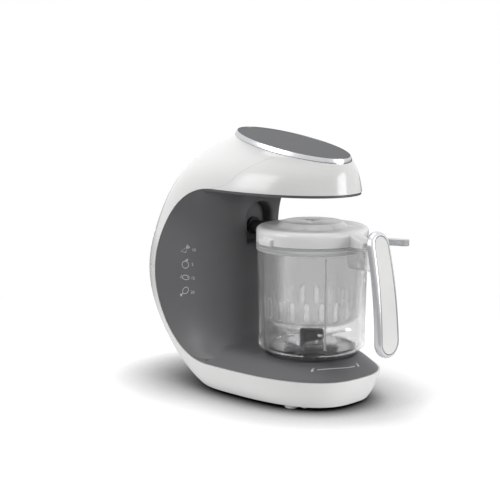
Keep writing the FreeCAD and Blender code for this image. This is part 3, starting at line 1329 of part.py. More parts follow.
tab_solid = Part.makeBox(S["tab_depth"] + S["lid_wall"], S["tab_length"], S["tab_height"], tab_corner)
tab_solid.rotate(V(), V(0, 0, 1), -S["tab_turn"])
side_tab = place(made("side_tab", tab_solid), "0", JUG_Y, LID_BOTTOM)
flap_low = number(LID_BOTTOM)
flap_root = jug_y - S["lid_radius"] + S["lid_wall"]
flap_tip = jug_y - S["flap_reach"]
flap_side = Part.makePolygon([
    V(-S["flap_half_width"], flap_root, flap_low),
    V(-S["flap_half_width"], flap_root, flap_low + S["flap_root_height"]),
    V(-S["flap_half_width"], flap_tip, flap_low + S["flap_tip_height"]),
    V(-S["flap_half_width"], flap_tip, flap_low),
    V(-S["flap_half_width"], flap_root, flap_low)])
flap_solid = Part.Face(flap_side).extrude(V(2 * S["flap_half_width"], 0, 0))
tip_edges = [edge for edge in flap_solid.Edges if edge.BoundBox.YMax < flap_tip + S["lid_edge"]]
front_flap = made("front_flap", flap_solid.makeFillet(S["flap_round"], tip_edges))
notch_low = bar_low - S["bar_notch_low"]
notch_root = S["lid_plug_radius"] + S["lid_edge"]
bar_notch = bar("bar_notch", 2 * S["part_gap"], notch_low, notch_root, S["bar_reach"] + S["bar_height"])
steam_port = cylinder("steam_port", "nozzle_bore + nozzle_tail", "3 * lid_wall", "0",
                      f"{JUG_Y} + lid_radius - 2 * lid_wall", "nozzle_height", "Y")
node("lid", cut("lid", fuse("lid_solid", lid_cover, side_tab, front_flap), bar_notch, steam_port))
gasket_ring = ring("lid_plug_radius + push_fit", "lid_plug_radius + gasket_depth - part_gap",
                   f"{LID_BOTTOM} - gasket_height", LID_BOTTOM)
node("lid_gasket", turned("lid_gasket", gasket_ring, "0", JUG_Y))

doc.recompute()
for item in doc.Objects:
    if "Invalid" in item.State or "Error" in item.State:
        raise RuntimeError(f"{item.Label} failed: {item.State}")
for item in nodes:
    if item.Shape.isNull() or not item.Shape.isValid():
        raise RuntimeError(f"{item.Label} has no sound shape")
for item in nodes:
    item.Shape.exportStep(f"parts/{item.Label}.step")
print(len(nodes), "sub-parts")
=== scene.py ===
import json
import math

import bmesh
import bpy
from mathutils import Matrix, Vector
from mathutils.bvhtree import BVHTree


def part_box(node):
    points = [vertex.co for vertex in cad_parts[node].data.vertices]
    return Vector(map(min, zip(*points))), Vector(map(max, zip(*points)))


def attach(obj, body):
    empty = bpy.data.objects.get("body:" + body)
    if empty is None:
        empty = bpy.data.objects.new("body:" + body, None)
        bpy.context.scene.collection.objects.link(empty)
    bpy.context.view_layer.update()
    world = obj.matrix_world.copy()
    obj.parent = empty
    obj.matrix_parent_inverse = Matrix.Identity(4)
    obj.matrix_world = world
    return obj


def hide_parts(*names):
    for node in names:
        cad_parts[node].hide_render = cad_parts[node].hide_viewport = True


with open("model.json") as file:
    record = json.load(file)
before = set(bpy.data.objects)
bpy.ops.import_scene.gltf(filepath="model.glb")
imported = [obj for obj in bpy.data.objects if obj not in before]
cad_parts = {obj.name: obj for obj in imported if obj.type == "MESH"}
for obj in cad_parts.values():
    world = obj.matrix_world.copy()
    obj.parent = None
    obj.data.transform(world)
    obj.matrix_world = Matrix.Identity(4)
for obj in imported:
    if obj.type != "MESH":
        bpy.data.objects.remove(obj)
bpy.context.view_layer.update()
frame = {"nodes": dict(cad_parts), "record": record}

# Feet: four short pads that carry the machine, pressed into the base plate.
# They are moulded in pale soft rubber; a rough grain takes the shine away, so they look dull and dusty.
scene = bpy.context.scene
nodes = frame["nodes"]
body_of = {node: body for body, members in frame["record"]["behaviour"]["bodies"].items() for node in members}
same_spot = 1e-6
flat_angle = math.radians(2)


def linear(code):
    """An sRGB hex colour as a linear RGBA value."""
    parts = [int(code[i:i + 2], 16) / 255 for i in (1, 3, 5)]
    return [c / 12.92 if c <= 0.04045 else ((c + 0.055) / 1.055) ** 2.4 for c in parts] + [1]


def add_node(tree, kind, links=None, **settings):
    """Adds a node; links gives its inputs, each a plain value or another node's output."""
    item = tree.nodes.new(kind)
    for name, value in settings.items():
        setattr(item, name, value)
    for name, value in (links or {}).items():
        if isinstance(value, bpy.types.NodeSocket):
            tree.links.new(value, item.inputs[name])
        else:
            item.inputs[name].default_value = value
    return item


def finish_of(name, code, shade, rough, grain_mm, depth_mm, **sockets):
    """A surface whose colour drifts to a shade in soft clouds, with a grain that roughens and lifts it."""
    cloud_mm = 30
    material = bpy.data.materials.new(name)
    material.use_nodes = True
    tree = material.node_tree
    shader = tree.nodes["Principled BSDF"]
    for socket, value in sockets.items():
        shader.inputs[socket.replace("_", " ")].default_value = value
    place = add_node(tree, "ShaderNodeTexCoord").outputs["Object"]
    cloud = add_node(tree, "ShaderNodeTexNoise", {"Vector": place, "Scale": 1000 / cloud_mm, "Detail": 3})
    tint = add_node(tree, "ShaderNodeMixRGB",
                    {"Fac": cloud.outputs["Fac"], "Color1": linear(code), "Color2": linear(shade)})
    tree.links.new(tint.outputs["Color"], shader.inputs["Base Color"])
    grain = add_node(tree, "ShaderNodeTexNoise", {"Vector": place, "Scale": 1000 / grain_mm, "Detail": 2})
    span = add_node(tree, "ShaderNodeMapRange",
                    {"Value": grain.outputs["Fac"], "To Min": rough[0], "To Max": rough[1]})
    tree.links.new(span.outputs["Result"], shader.inputs["Roughness"])
    bump = add_node(tree, "ShaderNodeBump", {"Height": grain.outputs["Fac"], "Distance": depth_mm / 1000})
    tree.links.new(bump.outputs["Normal"], shader.inputs["Normal"])
    return material


def merged_copy(node):
    """The mesh of a CAD node as a bmesh with its split corners joined."""
    build = bmesh.new()
    build.from_mesh(nodes[node].data)
    bmesh.ops.remove_doubles(build, verts=build.verts, dist=same_spot)
    return build


def round_edges(build, sharp, edge_mm, segments=2):
    """Rounds the edges of a bmesh that turn by more than an angle in degrees."""
    edges = [edge for edge in build.edges if edge.calc_face_angle(0) > math.radians(sharp)]
    bmesh.ops.bevel(build, geom=edges, offset=edge_mm / 1000, segments=segments, profile=0.5, affect="EDGES",
                    material=-1, clamp_overlap=True)


def add_piece(name, build, material, body, sharp=35):
    """Makes an object of a finished bmesh, smooth but for its sharp edges, that rides on a body."""
    for face in build.faces:
        face.smooth = True
    for edge in build.edges:
        edge.smooth = edge.calc_face_angle(0) < math.radians(sharp)
    mesh = bpy.data.meshes.new(name)
    build.to_mesh(mesh)
    build.free()
    mesh.materials.append(material)
    piece = bpy.data.objects.new(name, mesh)
    scene.collection.objects.link(piece)
    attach(piece, body)
    return piece


def dress(node, material, sharp=35, edge_mm=0):
    """A merged, smooth copy of a CAD node that stands for it, its sharp edges broken by a small round."""
    build = merged_copy(node)
    if edge_mm:
        bmesh.ops.dissolve_limit(build, angle_limit=flat_angle, verts=build.verts, edges=build.edges)
        round_edges(build, sharp, edge_mm)
    piece = add_piece(node + "_skin", build, material, body_of[node], sharp)
    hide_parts(node)
    return piece


foot_rubber = finish_of("pale soft rubber", "#D2D2CE", "#C9C9C5", (0.6, 0.75), 1, 0.02)
dress("rubber_feet", foot_rubber, edge_mm=0.5)

# Base plate and screws: the plate closes the base from below and is held by four pan-head screws.
# The plate is plain grey ABS straight from the tool, with a dull even face.
# The screws are zinc-plated steel, bright with a small glint on each head.


def coat(material, *names):
    """Gives CAD nodes that stay as they are a material."""
    for name in names:
        nodes[name].data.materials.clear()
        nodes[name].data.materials.append(material)


plate_abs = finish_of("plain inner ABS", "#9A9A9A", "#909090", (0.45, 0.6), 1, 0.01)
zinc = finish_of("zinc-plated steel", "#C2C4C6", "#AEB1B5", (0.25, 0.4), 2, 0.004, Metallic=1)
coat(plate_abs, "base_plate")
coat(zinc, "base_screws")

# Drive: a shaft in two pressed-in bushes, with a pulley below, a dog coupling on top and a belt to the motor.
# Pulley and coupling are glass-filled nylon, black with a dull sheen, and the shaft is bright ground steel.
# The bushes are sintered bronze, brown and finely speckled, and the belt is matt black rubber.
drive_nylon = finish_of("black glass-filled nylon", "#1B1B1D", "#141416", (0.35, 0.5), 1, 0.01)
shaft_steel = finish_of("ground shaft steel", "#C4C5C6", "#B4B5B7", (0.2, 0.32), 1, 0.003, Metallic=1)
bush_bronze = finish_of("sintered bronze", "#B9854A", "#A6753F", (0.3, 0.5), 0.6, 0.01, Metallic=1)
belt_rubber = finish_of("black belt rubber", "#161616", "#1E1E1E", (0.6, 0.8), 1.5, 0.03)
coat(drive_nylon, "drive_pulley", "drive_coupling", "motor_pulley", "motor_fan")
coat(shaft_steel, "drive_shaft", "motor_rotor", "motor_can")
coat(bush_bronze, "shaft_bushes")
coat(belt_rubber, "drive_belt", "cord_gland", "tank_oring", "nozzle_seal")
coat(plate_abs, "bearing_carrier", "chassis")

# Motor magnets and electrics: ferrite shells in the can, a board with its parts, a switch and a thermostat.
# The ferrite is dark and dull, the boards are green laminate with the wet look of solder mask.
# The parts on them are black moulded cases with a faint sheen, soldered or clipped in place.
ferrite = finish_of("sintered ferrite", "#2E2E30", "#252527", (0.5, 0.7), 0.8, 0.02)
laminate = finish_of("solder-masked laminate", "#1F5A33", "#184A2A", (0.3, 0.45), 2, 0.02)
case_black = finish_of("black moulded case", "#1C1C1F", "#151518", (0.35, 0.5), 1, 0.01)
coat(ferrite, "motor_magnets")
coat(laminate, "power_board", "touch_board")
coat(case_black, "board_parts", "interlock_switch", "thermostat")

# Boiler, pump and hoses: a small die-cast pot with a lid and a ring heater under it, fed by a pump.
# The alloy is raw, grey and slightly pitted, and the heater tube is a darker steel.
# The hoses are milky silicone with a soft shine, pushed on to their nipples.
cast_alloy = finish_of("die-cast alloy", "#B9BBBE", "#A9ABAE", (0.35, 0.5), 1.5, 0.02, Metallic=1)
heater_steel = finish_of("heater tube steel", "#8E8B88", "#7C7875", (0.3, 0.5), 1, 0.01, Metallic=1)
hose_silicone = finish_of("milky silicone", "#DADAD6", "#D2D2CE", (0.4, 0.5), 2, 0.005)
coat(cast_alloy, "boiler_body", "boiler_lid")
coat(heater_steel, "heating_element")
coat(hose_silicone, "steam_tube", "feed_hose", "pump_hose")
coat(plate_abs, "water_pump", "inlet_socket", "panel_carrier")

# White body: base, head and tank cowl are three thin shells that clip together and meet in fine shadow gaps.
# They are injection moulded in white ABS, glossy with a faint orange peel that softens the lights in it.
white_abs = finish_of("glossy white ABS", "#ECECEB", "#E7E7E6", (0.16, 0.22), 3, 0.004, IOR=1.5)
for shell in ("lower_shell", "head_shell", "tank_cowl"):
    dress(shell, white_abs)

# Grey housing: the column, its foot and the deck round the jug are one moulding between the white shells.
# It is ABS from a spark-eroded tool, so it is matt with a fine even grain and only a broad, weak sheen.
# A small wedge on each side closes the joint of column and deck at the white rim.
grey_abs = finish_of("grained grey ABS", "#5F5F61", "#5A5A5C", (0.42, 0.55), 0.9, 0.02, IOR=1.5)
soft_turn = 55
wedge_turn = 60
housing = dress("inner_housing", grey_abs, sharp=soft_turn)
dress("head_underside", grey_abs)
jug_low, jug_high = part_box("jug_collar")
axis_foot = Vector(((jug_low.x + jug_high.x) / 2, (jug_low.y + jug_high.y) / 2, 0))
joint_low = Vector((0.064, 0.082, 0.0315))
joint_high = Vector((0.0705, 0.106, 0.0360))
for side, name in ((-1, "housing_joint_left"), (1, "housing_joint_right")):
    build = bmesh.new()
    for vert in housing.data.vertices:
        spot = vert.co - axis_foot
        spot.x *= side
        if all(low < value < high for low, value, high in zip(joint_low, spot, joint_high)):
            build.verts.new(vert.co)
    bmesh.ops.convex_hull(build, input=build.verts)
    bmesh.ops.delete(build, geom=[vert for vert in build.verts if not vert.link_faces], context="VERTS")
    add_piece(name, build, grey_abs, "base", wedge_turn)

# Steam outlet: a heat-proof nozzle that reaches from the niche to the lid, pushed through a rubber seal.
# It is moulded in glass-filled polypropylene, dark and dull with a coarse fibre grain.
nozzle_pp = finish_of("dark filled polypropylene", "#47474A", "#414144", (0.4, 0.55), 1, 0.01)
dress("steam_nozzle", nozzle_pp, edge_mm=0.5)

# Food guide: four small pictures of food with a plain number each, printed on the column's left flank.
# They are pad printed in pale grey ink, a very thin matt layer that follows the curved wall.
print_ink = finish_of("pale grey printing ink", "#C6C6C6", "#BEBEBE", (0.5, 0.6), 1, 0.002)
ink_lift_mm = 0.08
line_mm = 0.5
cast_start = 0.1


def surface_of(piece):
    """The faces of an object for casting rays on."""
    return BVHTree.FromPolygons([vert.co for vert in piece.data.vertices],
                                [face.vertices for face in piece.data.polygons])


def disc(build, x, y, radius, wide=1, tall=1, turn=0, corners=20):
    """Adds a flat disc or a flat polygon, stretched and turned, to a drawing in millimetres."""
    turned_by = Matrix.Rotation(math.radians(turn), 4, "Z")
    shape = Matrix.Translation((x, y, 0)) @ turned_by @ Matrix.Diagonal((wide, tall, 1, 1))
    bmesh.ops.create_circle(build, cap_ends=True, segments=corners, radius=radius, matrix=shape)


def contour(build, x, y, radius, wide=1, tall=1, turn=0, corners=24):
    """Adds the outline of such a disc, a line half a millimetre wide, to a drawing in millimetres."""
    known = set(build.faces)
    disc(build, x, y, radius, wide, tall, turn, corners)
    fresh = [face for face in build.faces if face not in known]
    bmesh.ops.inset_individual(build, faces=fresh, thickness=line_mm)
    bmesh.ops.delete(build, geom=fresh, context="FACES_ONLY")


def draw_root(build):
    """A root vegetable with two leaves."""
    contour(build, -1.2, -0.9, 3.4, 1.25, 0.72, 215, 3)
    contour(build, 2.3, 1.6, 1.6, 1, 0.5, 20, 12)
    contour(build, 1.4, 2.4, 1.6, 1, 0.5, 75, 12)


def draw_fruit(build):
    """A round fruit with a leaf."""
    contour(build, 0, -0.7, 3.1, 1.1, 1)
    contour(build, 1.3, 3.1, 1.5, 1, 0.5, 30, 12)


def draw_fish(build):
    """A fish seen from the side."""
    contour(build, 0.8, 0, 3.5, 1, 0.6)
    contour(build, -3.6, 0, 1.9, 0.8, 1, 0, 3)
    disc(build, 2.6, 0.4, 0.4)


def draw_leg(build):
    """A drumstick on its bone."""
    contour(build, 0.9, 0.9, 3, 1.15, 0.85, 45)
    disc(build, -2.4, -2.4, 0.5, 3.4, 1, 45, 4)
    disc(build, -3.7, -3, 0.7)
    disc(build, -3, -3.7, 0.7)


def lay_on(build, surface, way, lift_mm):
    """Splits a flat drawing finely and lays it on a surface along a way, lifted a little."""
    bmesh.ops.triangulate(build, faces=build.faces)
    bmesh.ops.subdivide_edges(build, edges=build.edges, cuts=2, use_grid_fill=True)
    for vert in build.verts:
        spot = surface.ray_cast(vert.co - way * cast_start, way)[0]
        vert.co = (spot or vert.co) - way * lift_mm / 1000
    bmesh.ops.recalc_face_normals(build, faces=build.faces)


def print_on_flank(name, build, back, height, size):
    """Places a drawing on the column's left flank and prints it."""
    spot = axis_foot + Vector((flank_side, back, height))
    place = Matrix.Translation(spot) @ flank_view @ Matrix.Scale(size, 4)
    bmesh.ops.transform(build, matrix=place, verts=build.verts)
    lay_on(build, wall, Vector((1, 0, 0)), ink_lift_mm)
    add_piece(name, build, print_ink, "base")


wall = surface_of(housing)
flank_side = -0.07
flank_view = Matrix(((0, 0, -1, 0), (-1, 0, 0, 0), (0, 1, 0, 0), (0, 0, 0, 1)))
guide_size = 0.0013
guide_back = 0.1250
guide_heights = (0.1432, 0.1280, 0.1138, 0.0990)
number_back = 0.1175
number_size = 0.0045
drawings = (draw_root, draw_fruit, draw_fish, draw_leg)
minutes = ("10", "5", "15", "20")
for height, draw, time in zip(guide_heights, drawings, minutes):
    build = bmesh.new()
    draw(build)
    print_on_flank("guide_" + draw.__name__[5:], build, guide_back, height, guide_size)
    letters = bpy.data.curves.new("guide_number_" + time, "FONT")
    letters.body = time
    letters.size = number_size
    letters.align_x = "LEFT"
    letters.align_y = "CENTER"
    text = bpy.data.objects.new("guide_text_" + time, letters)
    build = bmesh.new()
    build.from_mesh(text.to_mesh())
    text.to_mesh_clear()
    bpy.data.objects.remove(text)
    print_on_flank("guide_number_" + time, build, number_back, height, 1)

# Lock marks: an arc on the deck in front of the jug with an open and a shut padlock at its ends.
# It is printed in the same pale ink as the food guide and shows which way the jug turns.
arc_radius = 0.0555
arc_turn = math.radians(-20)
arc_reach = math.radians(22)
arc_line = 0.0007
arc_above = 0.06
lock_step = math.radians(5)
shackle_mm = (0.75, 1.15)
shackle_foot_mm = 0.5
down = Vector((0, 0, -1))


def swing(build, geom, center, angle, steps, merge=False, copies=False):
    """Turns edges into a surface about an upright axis, or sets copies round it."""
    bmesh.ops.spin(build, geom=geom, cent=center, axis=(0, 0, 1), dvec=(0, 0, 0), angle=angle, steps=steps,
                   use_merge=merge, use_duplicate=copies)


def swept_line(build, first, last, center, angle, steps):
    """Sweeps the line between two spots about an upright axis."""
    line = build.edges.new((build.verts.new(first), build.verts.new(last)))
    swing(build, [line, *line.verts], center, angle, steps)


build = bmesh.new()
arc_start = Matrix.Rotation(arc_turn - arc_reach, 3, "Z") @ Vector((0, -arc_radius, 0))
arc_edge = arc_start * ((arc_radius + arc_line) / arc_radius)
deck_level = axis_foot + Vector((0, 0, arc_above))
swept_line(build, deck_level + arc_start, deck_level + arc_edge, axis_foot, 2 * arc_reach, 24)
lay_on(build, wall, down, ink_lift_mm)
add_piece("lock_arc", build, print_ink, "base")
for name, side, shift in (("lock_open", -1, 1.1), ("lock_shut", 1, 0)):
    build = bmesh.new()
    disc(build, 0, -0.6, 1.9, 1, 0.75, 45, 4)
    inner, outer = (Vector((shift + reach, shackle_foot_mm, 0)) for reach in shackle_mm)
    swept_line(build, inner, outer, (shift, shackle_foot_mm, 0), math.pi, 12)
    turn = Matrix.Rotation(arc_turn + side * (arc_reach + lock_step), 4, "Z")
    place = Matrix.Translation(axis_foot) @ turn @ Matrix.Translation((0, -arc_radius, arc_above))
    bmesh.ops.transform(build, matrix=place @ Matrix.Scale(0.001, 4), verts=build.verts)
    lay_on(build, wall, down, ink_lift_mm)
    add_piece(name, build, print_ink, "base")

# Control panel: a flat grey touch film in an oval bezel on top of the head.
# The film is back-printed polyester, glued down, with a satin face that shows no clear reflection.
# The bezel is ABS with bright plating, so its sloped band catches the lights as a soft silver line.
plated_abs = finish_of("bright plated ABS", "#CFD0D3", "#C6C8CB", (0.22, 0.3), 4, 0.002, Metallic=1)
panel_film = finish_of("satin panel film", "#525355", "#4E4F51", (0.45, 0.55), 0.8, 0.004, IOR=1.5,
                       Specular_IOR_Level=0.2)
dress("panel_bezel", plated_abs)
dress("touch_panel", panel_film)

# Water tank: a clear reservoir inside the white cowl with a screw cap, and a valve with a rubber ring.
# It is injection moulded in clear copolyester that lets the inside show with a bright, glassy edge.
# Cap and valve are white polypropylene with a soft sheen.
tank_clear = finish_of("clear tank copolyester", "#EFF2F3", "#EAEEF0", (0.03, 0.06), 6, 0.002, IOR=1.52,
                       Transmission_Weight=1, Alpha=0.5)
cap_pp = finish_of("white polypropylene", "#DEDEDB", "#D4D4D1", (0.35, 0.5), 1, 0.01)
coat(tank_clear, "tank_reservoir")
coat(cap_pp, "tank_cap", "tank_valve")

# Twist ring and jug collar: dark rings that lock the jug on the deck by a short turn.
# Both are moulded in glass-filled nylon, dark grey with a dull sheen.
# Fine ticks in a paler ink round the collar show how far it is turned.
collar_nylon = finish_of("dark grey collar nylon", "#333335", "#2C2C2E", (0.35, 0.5), 1, 0.01)
tick_ink = finish_of("pale tick ink", "#626264", "#5A5A5C", (0.5, 0.6), 1, 0.002)
dress("interlock_ring", collar_nylon, edge_mm=0.3)
dress("jug_collar", collar_nylon)
tick_count = 24
tick_radius = 0.04452
tick_height = 0.0501
tick_size = Matrix.Diagonal((0.0009, 0.0003, 0.0026, 1))
build = bmesh.new()
for step in range(tick_count):
    turn = Matrix.Rotation(2 * math.pi * step / tick_count, 4, "Z")
    place = Matrix.Translation(axis_foot) @ turn @ Matrix.Translation((0, -tick_radius, tick_height))
    bmesh.ops.create_cube(build, size=1, matrix=place @ tick_size)
add_piece("collar_ticks", build, tick_ink, "jug")

# Jug: a clear beaker with a rim band for the lid, a ledge for the basket and a bracket for the handle.
# It is injection moulded in copolyester, clear with a grey cast and hard white glints from its polished tool.
# The band, with two fine lines round it, and the rib down the side are frosted, so they stand out pale.
jug_clear = finish_of("clear copolyester", "#D8D8D8", "#D3D3D3", (0.0, 0.02), 6, 0.001, IOR=1.06,
                      Transmission_Weight=0.96, Alpha=0.5, Coat_Weight=1, Coat_Roughness=0.03)
rim_frost = finish_of("frosted copolyester", "#D9DADA", "#D2D4D4", (0.25, 0.35), 2, 0.004, IOR=1.3,
                      Transmission_Weight=0.6, Alpha=0.75)
beaker_corners = (
    (8, 53), (51.5, 53), (53.5, 55), (55, 152), (56, 152.3), (56, 153.6), (55.6, 153.9), (55.6, 154.5),
    (56, 154.8), (56, 156.6), (55.6, 156.9), (55.6, 157.5), (56, 157.8), (56, 160), (53.3, 160), (53.3, 152),
    (52.6, 152), (51.1, 57), (8, 57))
turned_sharp = 25
block_sharp = 60


def turned(corners, steps, edge_mm):
    """A closed body turned about the jug's axis from (radius, height) corners in millimetres."""
    build = bmesh.new()
    verts = [build.verts.new(axis_foot + Vector((radius / 1000, 0, height / 1000)))
             for radius, height in corners]
    edges = [build.edges.new((verts[i - 1], verts[i])) for i in range(len(verts))]
    swing(build, verts + edges, axis_foot, 2 * math.pi, steps, merge=True)
    bmesh.ops.remove_doubles(build, verts=build.verts, dist=same_spot)
    bmesh.ops.recalc_face_normals(build, faces=build.faces)
    round_edges(build, turned_sharp, edge_mm)
    return build


def block(low, high, edge_mm, round_mm=0):
    """A box between two corners in millimetres from the jug axis' foot, its lower long edges rounded more."""
    build = bmesh.new()
    middle = (Vector(low) + Vector(high)) / 2000
    size = (Vector(high) - Vector(low)) / 1000
    place = Matrix.Translation(axis_foot + middle) @ Matrix.Diagonal((*size, 1))
    bmesh.ops.create_cube(build, size=1, matrix=place)
    if round_mm:
        bottom = low[2] / 1000 + same_spot
        lower = [edge for edge in build.edges
                 if all(vert.co.z < bottom for vert in edge.verts)
                 and abs(edge.verts[0].co.x - edge.verts[1].co.x) < same_spot]
        bmesh.ops.bevel(build, geom=lower, offset=round_mm / 1000, segments=8, profile=0.5, affect="EDGES",
                        material=-1, clamp_overlap=True)
    round_edges(build, block_sharp, edge_mm, 3)
    return build


beaker = add_piece("jug_beaker", turned(beaker_corners, 128, 0.25), jug_clear, "jug")
beaker.data.materials.append(rim_frost)
band_bottom = 0.1521
for face in beaker.data.polygons:
    face.material_index = int(face.center.z > band_bottom)
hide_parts("jug_body")
rib_turn = math.radians(-34)
rib_lean = math.atan2(1.5, 97)
rib_middle = axis_foot + Vector((0, -0.0545, 0.105))
rib = block((-1.1, -54.9, 60), (1.1, -54.1, 150), 0.35)
bmesh.ops.rotate(rib, verts=rib.verts, cent=rib_middle, matrix=Matrix.Rotation(rib_lean, 3, "X"))
bmesh.ops.rotate(rib, verts=rib.verts, cent=axis_foot, matrix=Matrix.Rotation(rib_turn, 3, "Z"))
add_piece("jug_rib", rib, rim_frost, "jug")
add_piece("jug_bracket", block((-10.8, -84.5, 138.2), (10.8, -54.6, 159.8), 0.8, 7.8), jug_clear, "jug")

# Handle: a silver frame with a white grip plate let into its face, screwed to the jug's bracket.
# The frame is ABS under silver lacquer, a soft metal look with bright lines along its rounded edges.
# The plate is the body's glossy white ABS; a thin dark copy sunk just behind its edge is painted shade, the
# dark of the fine joint round it.
silver_lacquer = finish_of("silver lacquer", "#E0E1E4", "#DADBDE", (0.22, 0.3), 0.5, 0.003, Metallic=0.55)
dress("handle_frame", silver_lacquer)
insert_low, insert_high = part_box("handle_insert")
insert_middle = (insert_low + insert_high) / 2
joint_depth = 0.0004


def insert_copy(wide, tall, sunk):
    """A copy of the CAD insert, scaled about its middle and sunk into the frame."""
    build = merged_copy("handle_insert")
    bmesh.ops.scale(build, vec=(wide, 1, tall), verts=build.verts, space=Matrix.Translation(-insert_middle))
    bmesh.ops.translate(build, vec=(0, sunk, 0), verts=build.verts)
    return build


# A slightly larger dark copy of the plate, sunk behind it, is painted shade: it draws the dark of the joint
# round the plate.
add_piece("grip_joint_shade", insert_copy(0.995, 0.999, joint_depth), belt_rubber, "jug")
grip_plate = add_piece("grip_plate", insert_copy(0.955, 0.99, 0), white_abs, "jug")
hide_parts("handle_insert")
coat(zinc, "handle_screw")

# Blades: two blades and a hub on a shaft through the jug's floor, over a shallow dish.
# Blades and dish are stamped and polished stainless steel, bright with clear reflections.
# The hub is black nylon moulded round the shaft, almost without shine.
blade_steel = finish_of("polished stainless steel", "#D3D4D5", "#C6C7C9", (0.12, 0.22), 0.8, 0.002, Metallic=1)
hub_nylon = finish_of("black hub nylon", "#131315", "#0E0E10", (0.4, 0.5), 1, 0.008, Specular_IOR_Level=0.2)
dress("blade_hub", hub_nylon)
dress("blade_lower", blade_steel)
dress("blade_upper", blade_steel)
coat(shaft_steel, "blade_shaft")
coat(drive_nylon, "blade_dog")
coat(hose_silicone, "blade_seal")
dish_corners = ((9, 57.1), (26, 57.1), (27, 57.3), (26, 57.8), (20, 58.3), (9, 58.4))
add_piece("blade_dish", turned(dish_corners, 96, 0.1), blade_steel, "jug")

# Steam basket: a clear cup with a ring of slots that hangs on the jug's ledge, with a lifting bar in front.
# It is moulded in the same clear copolyester as the jug, a touch greyer; the bar is smokier and half opaque.
# A fine pale outline round each slot, in the frosted rim plastic, is a painted highlight along the bright slot
# edges.
basket_clear = finish_of("clear basket copolyester", "#D5D5D5", "#D0D0D0", (0.0, 0.03), 6, 0.001, IOR=1.06,
                         Transmission_Weight=0.96, Alpha=0.5, Coat_Weight=0.5, Coat_Roughness=0.04)
bar_smoke = finish_of("smoky bar copolyester", "#D2D4D5", "#CCCECF", (0.1, 0.16), 4, 0.002, IOR=1.5,
                      Transmission_Weight=0.25)
basket = dress("steam_basket", basket_clear)
basket.data.materials.append(bar_smoke)
bar_start = 0.0575
for face in basket.data.polygons:
    face.material_index = int((face.center.xy - axis_foot.xy).length > bar_start)
slot_count = 20
slot_half_mm = 2.5
slot_ends_mm = (86, 105)
glint_sides_mm = (2.6, 3.3)
glint_start_mm = -70
glint_lift_mm = 0.15
glint_steps = 32
# Pale rings laid round the slot edges: painted highlights where the clear edges catch the light.
build = bmesh.new()
rings = []
for half in glint_sides_mm:
    ring = []
    for step in range(glint_steps):
        turn = 2 * math.pi * (step + 0.5) / glint_steps
        upper = step < glint_steps / 2
        end = slot_ends_mm[1] - slot_half_mm if upper else slot_ends_mm[0] + slot_half_mm
        spot = Vector((half * math.cos(turn), glint_start_mm, end + half * math.sin(turn)))
        ring.append(build.verts.new(axis_foot + spot / 1000))
    rings.append(ring)
for step in range(glint_steps):
    build.faces.new((rings[0][step - 1], rings[0][step], rings[1][step], rings[1][step - 1]))
lay_on(build, surface_of(basket), Vector((0, 1, 0)), glint_lift_mm)
others = slot_count - 1
glint_ring = [*build.verts, *build.edges, *build.faces]
swing(build, glint_ring, axis_foot, 2 * math.pi * others / slot_count, others, copies=True)
add_piece("basket_slot_highlights", build, rim_frost, body_of["steam_basket"])

# Lid: a white cover with a raised disc, a vent, a side tab and a flap over the bracket.
# It is moulded in polypropylene, milky with a soft gloss, and sits on the jug's rim over a silicone ring.
lid_pp = finish_of("milky polypropylene", "#F0F0F0", "#ECECEC", (0.18, 0.26), 3, 0.004, IOR=1.49)
dress("lid", lid_pp, edge_mm=0.6)
coat(hose_silicone, "lid_gasket")

# Studio: a paper floor that runs out to a white background, with soft lights above, at the left and in front.
# The floor darkens for the camera where the machine closes it in, and far out it is plain white.
scene.view_settings.view_transform = "Standard"
floor_radius = 8
shadow_reach = 0.09
shadow_power = 1.8
floor_white = 1.15
floor_bounce = 0.8
fade_start = 0.26
fade_end = 0.6
room_grey = 0.36
build = bmesh.new()
bmesh.ops.create_circle(build, cap_ends=True, segments=96, radius=floor_radius)
floor_mesh = bpy.data.meshes.new("studio_floor")
build.to_mesh(floor_mesh)
build.free()
floor = bpy.data.objects.new("studio_floor", floor_mesh)
scene.collection.objects.link(floor)
paper = bpy.data.materials.new("matt white paper")
paper.use_nodes = True
floor_mesh.materials.append(paper)
tree = paper.node_tree
tree.nodes.clear()


def either(tree, first, second):
    """The larger of two outputs."""
    return add_node(tree, "ShaderNodeMath", {0: first, 1: second}, operation="MAXIMUM").outputs[0]


path = add_node(tree, "ShaderNodeLightPath")
seen = either(tree, path.outputs["Is Camera Ray"], path.outputs["Is Transmission Ray"])
open_sky = add_node(tree, "ShaderNodeAmbientOcclusion", {"Distance": shadow_reach}, samples=8)
deep = add_node(tree, "ShaderNodeMath", {0: open_sky.outputs["AO"], 1: shadow_power}, operation="POWER")
bright = add_node(tree, "ShaderNodeMath", {0: deep.outputs[0], 1: floor_white}, operation="MULTIPLY")
bounce = (floor_bounce, floor_bounce, floor_bounce, 1)
tone = add_node(tree, "ShaderNodeMixRGB", {"Fac": seen, "Color1": bounce, "Color2": bright.outputs[0]})
matt = add_node(tree, "ShaderNodeBsdfDiffuse", {"Color": tone.outputs["Color"]})
own = add_node(tree, "ShaderNodeEmission", {"Color": (1, 1, 1, 1), "Strength": seen})
place = add_node(tree, "ShaderNodeTexCoord").outputs["Object"]
away = add_node(tree, "ShaderNodeVectorMath", {0: place}, operation="LENGTH")
far = add_node(tree, "ShaderNodeMapRange",
               {"Value": away.outputs["Value"], "From Min": fade_start, "From Max": fade_end},
               interpolation_type="SMOOTHSTEP")
both = add_node(tree, "ShaderNodeMixShader",
                {0: far.outputs["Result"], 1: matt.outputs[0], 2: own.outputs[0]})
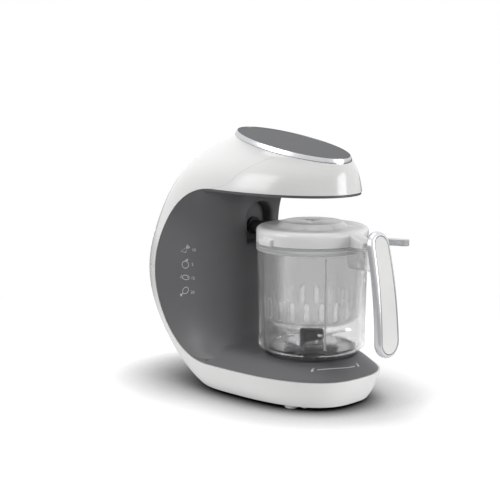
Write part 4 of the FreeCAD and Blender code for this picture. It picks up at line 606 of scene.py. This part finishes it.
add_node(tree, "ShaderNodeOutputMaterial", {"Surface": both.outputs[0]})

world = bpy.data.worlds.new("studio")
scene.world = world
world.use_nodes = True
tree = world.node_tree
soft = tree.nodes["Background"]
soft.inputs["Color"].default_value = (room_grey, room_grey, room_grey, 1)
white = add_node(tree, "ShaderNodeBackground", {"Color": (1, 1, 1, 1), "Strength": 1})
path = add_node(tree, "ShaderNodeLightPath")
seen = either(tree, path.outputs["Is Camera Ray"], path.outputs["Is Glossy Ray"])
through = either(tree, seen, path.outputs["Is Transmission Ray"])
chosen = add_node(tree, "ShaderNodeMixShader", {0: through, 1: soft.outputs[0], 2: white.outputs[0]})
tree.links.new(chosen.outputs[0], tree.nodes["World Output"].inputs["Surface"])


def softbox(name, spot, aim, size, power):
    """A square soft light at a spot, turned to what it lights."""
    lamp = bpy.data.lights.new(name, "AREA")
    lamp.shape = "SQUARE"
    lamp.size = size
    lamp.energy = power
    item = bpy.data.objects.new(name, lamp)
    item.location = spot
    item.rotation_euler = (Vector(aim) - Vector(spot)).to_track_quat("-Z", "Y").to_euler()
    scene.collection.objects.link(item)


softbox("top_softbox", (0.05, 0.3, 1.45), (0, 0, 0.1), 1.0, 10.5)
softbox("left_softbox", (-1.3, 0.6, 0.8), (0, 0, 0.15), 0.8, 10)
softbox("front_softbox", (0.3, -0.95, 0.35), (0, -0.15, 0.14), 0.45, 4.8)

# Camera: a long lens a little above the head, turned left so that the jug stands right of the middle.
view_turn = math.radians(-48)
view_reach = 1.250
view_height = 0.355
aim_height = 0.150
aside = math.radians(2.85)
eye = axis_foot + Vector((math.sin(view_turn) * view_reach, -math.cos(view_turn) * view_reach, view_height))
look = axis_foot + Vector((0, 0, aim_height)) - eye
look.rotate(Matrix.Rotation(aside, 3, "Z"))
lens = bpy.data.cameras.new("camera")
lens.sensor_width = 36
lens.lens = 91.2
camera = bpy.data.objects.new("camera", lens)
camera.location = eye
camera.rotation_euler = look.to_track_quat("-Z", "Y").to_euler()
scene.collection.objects.link(camera)
scene.camera = camera
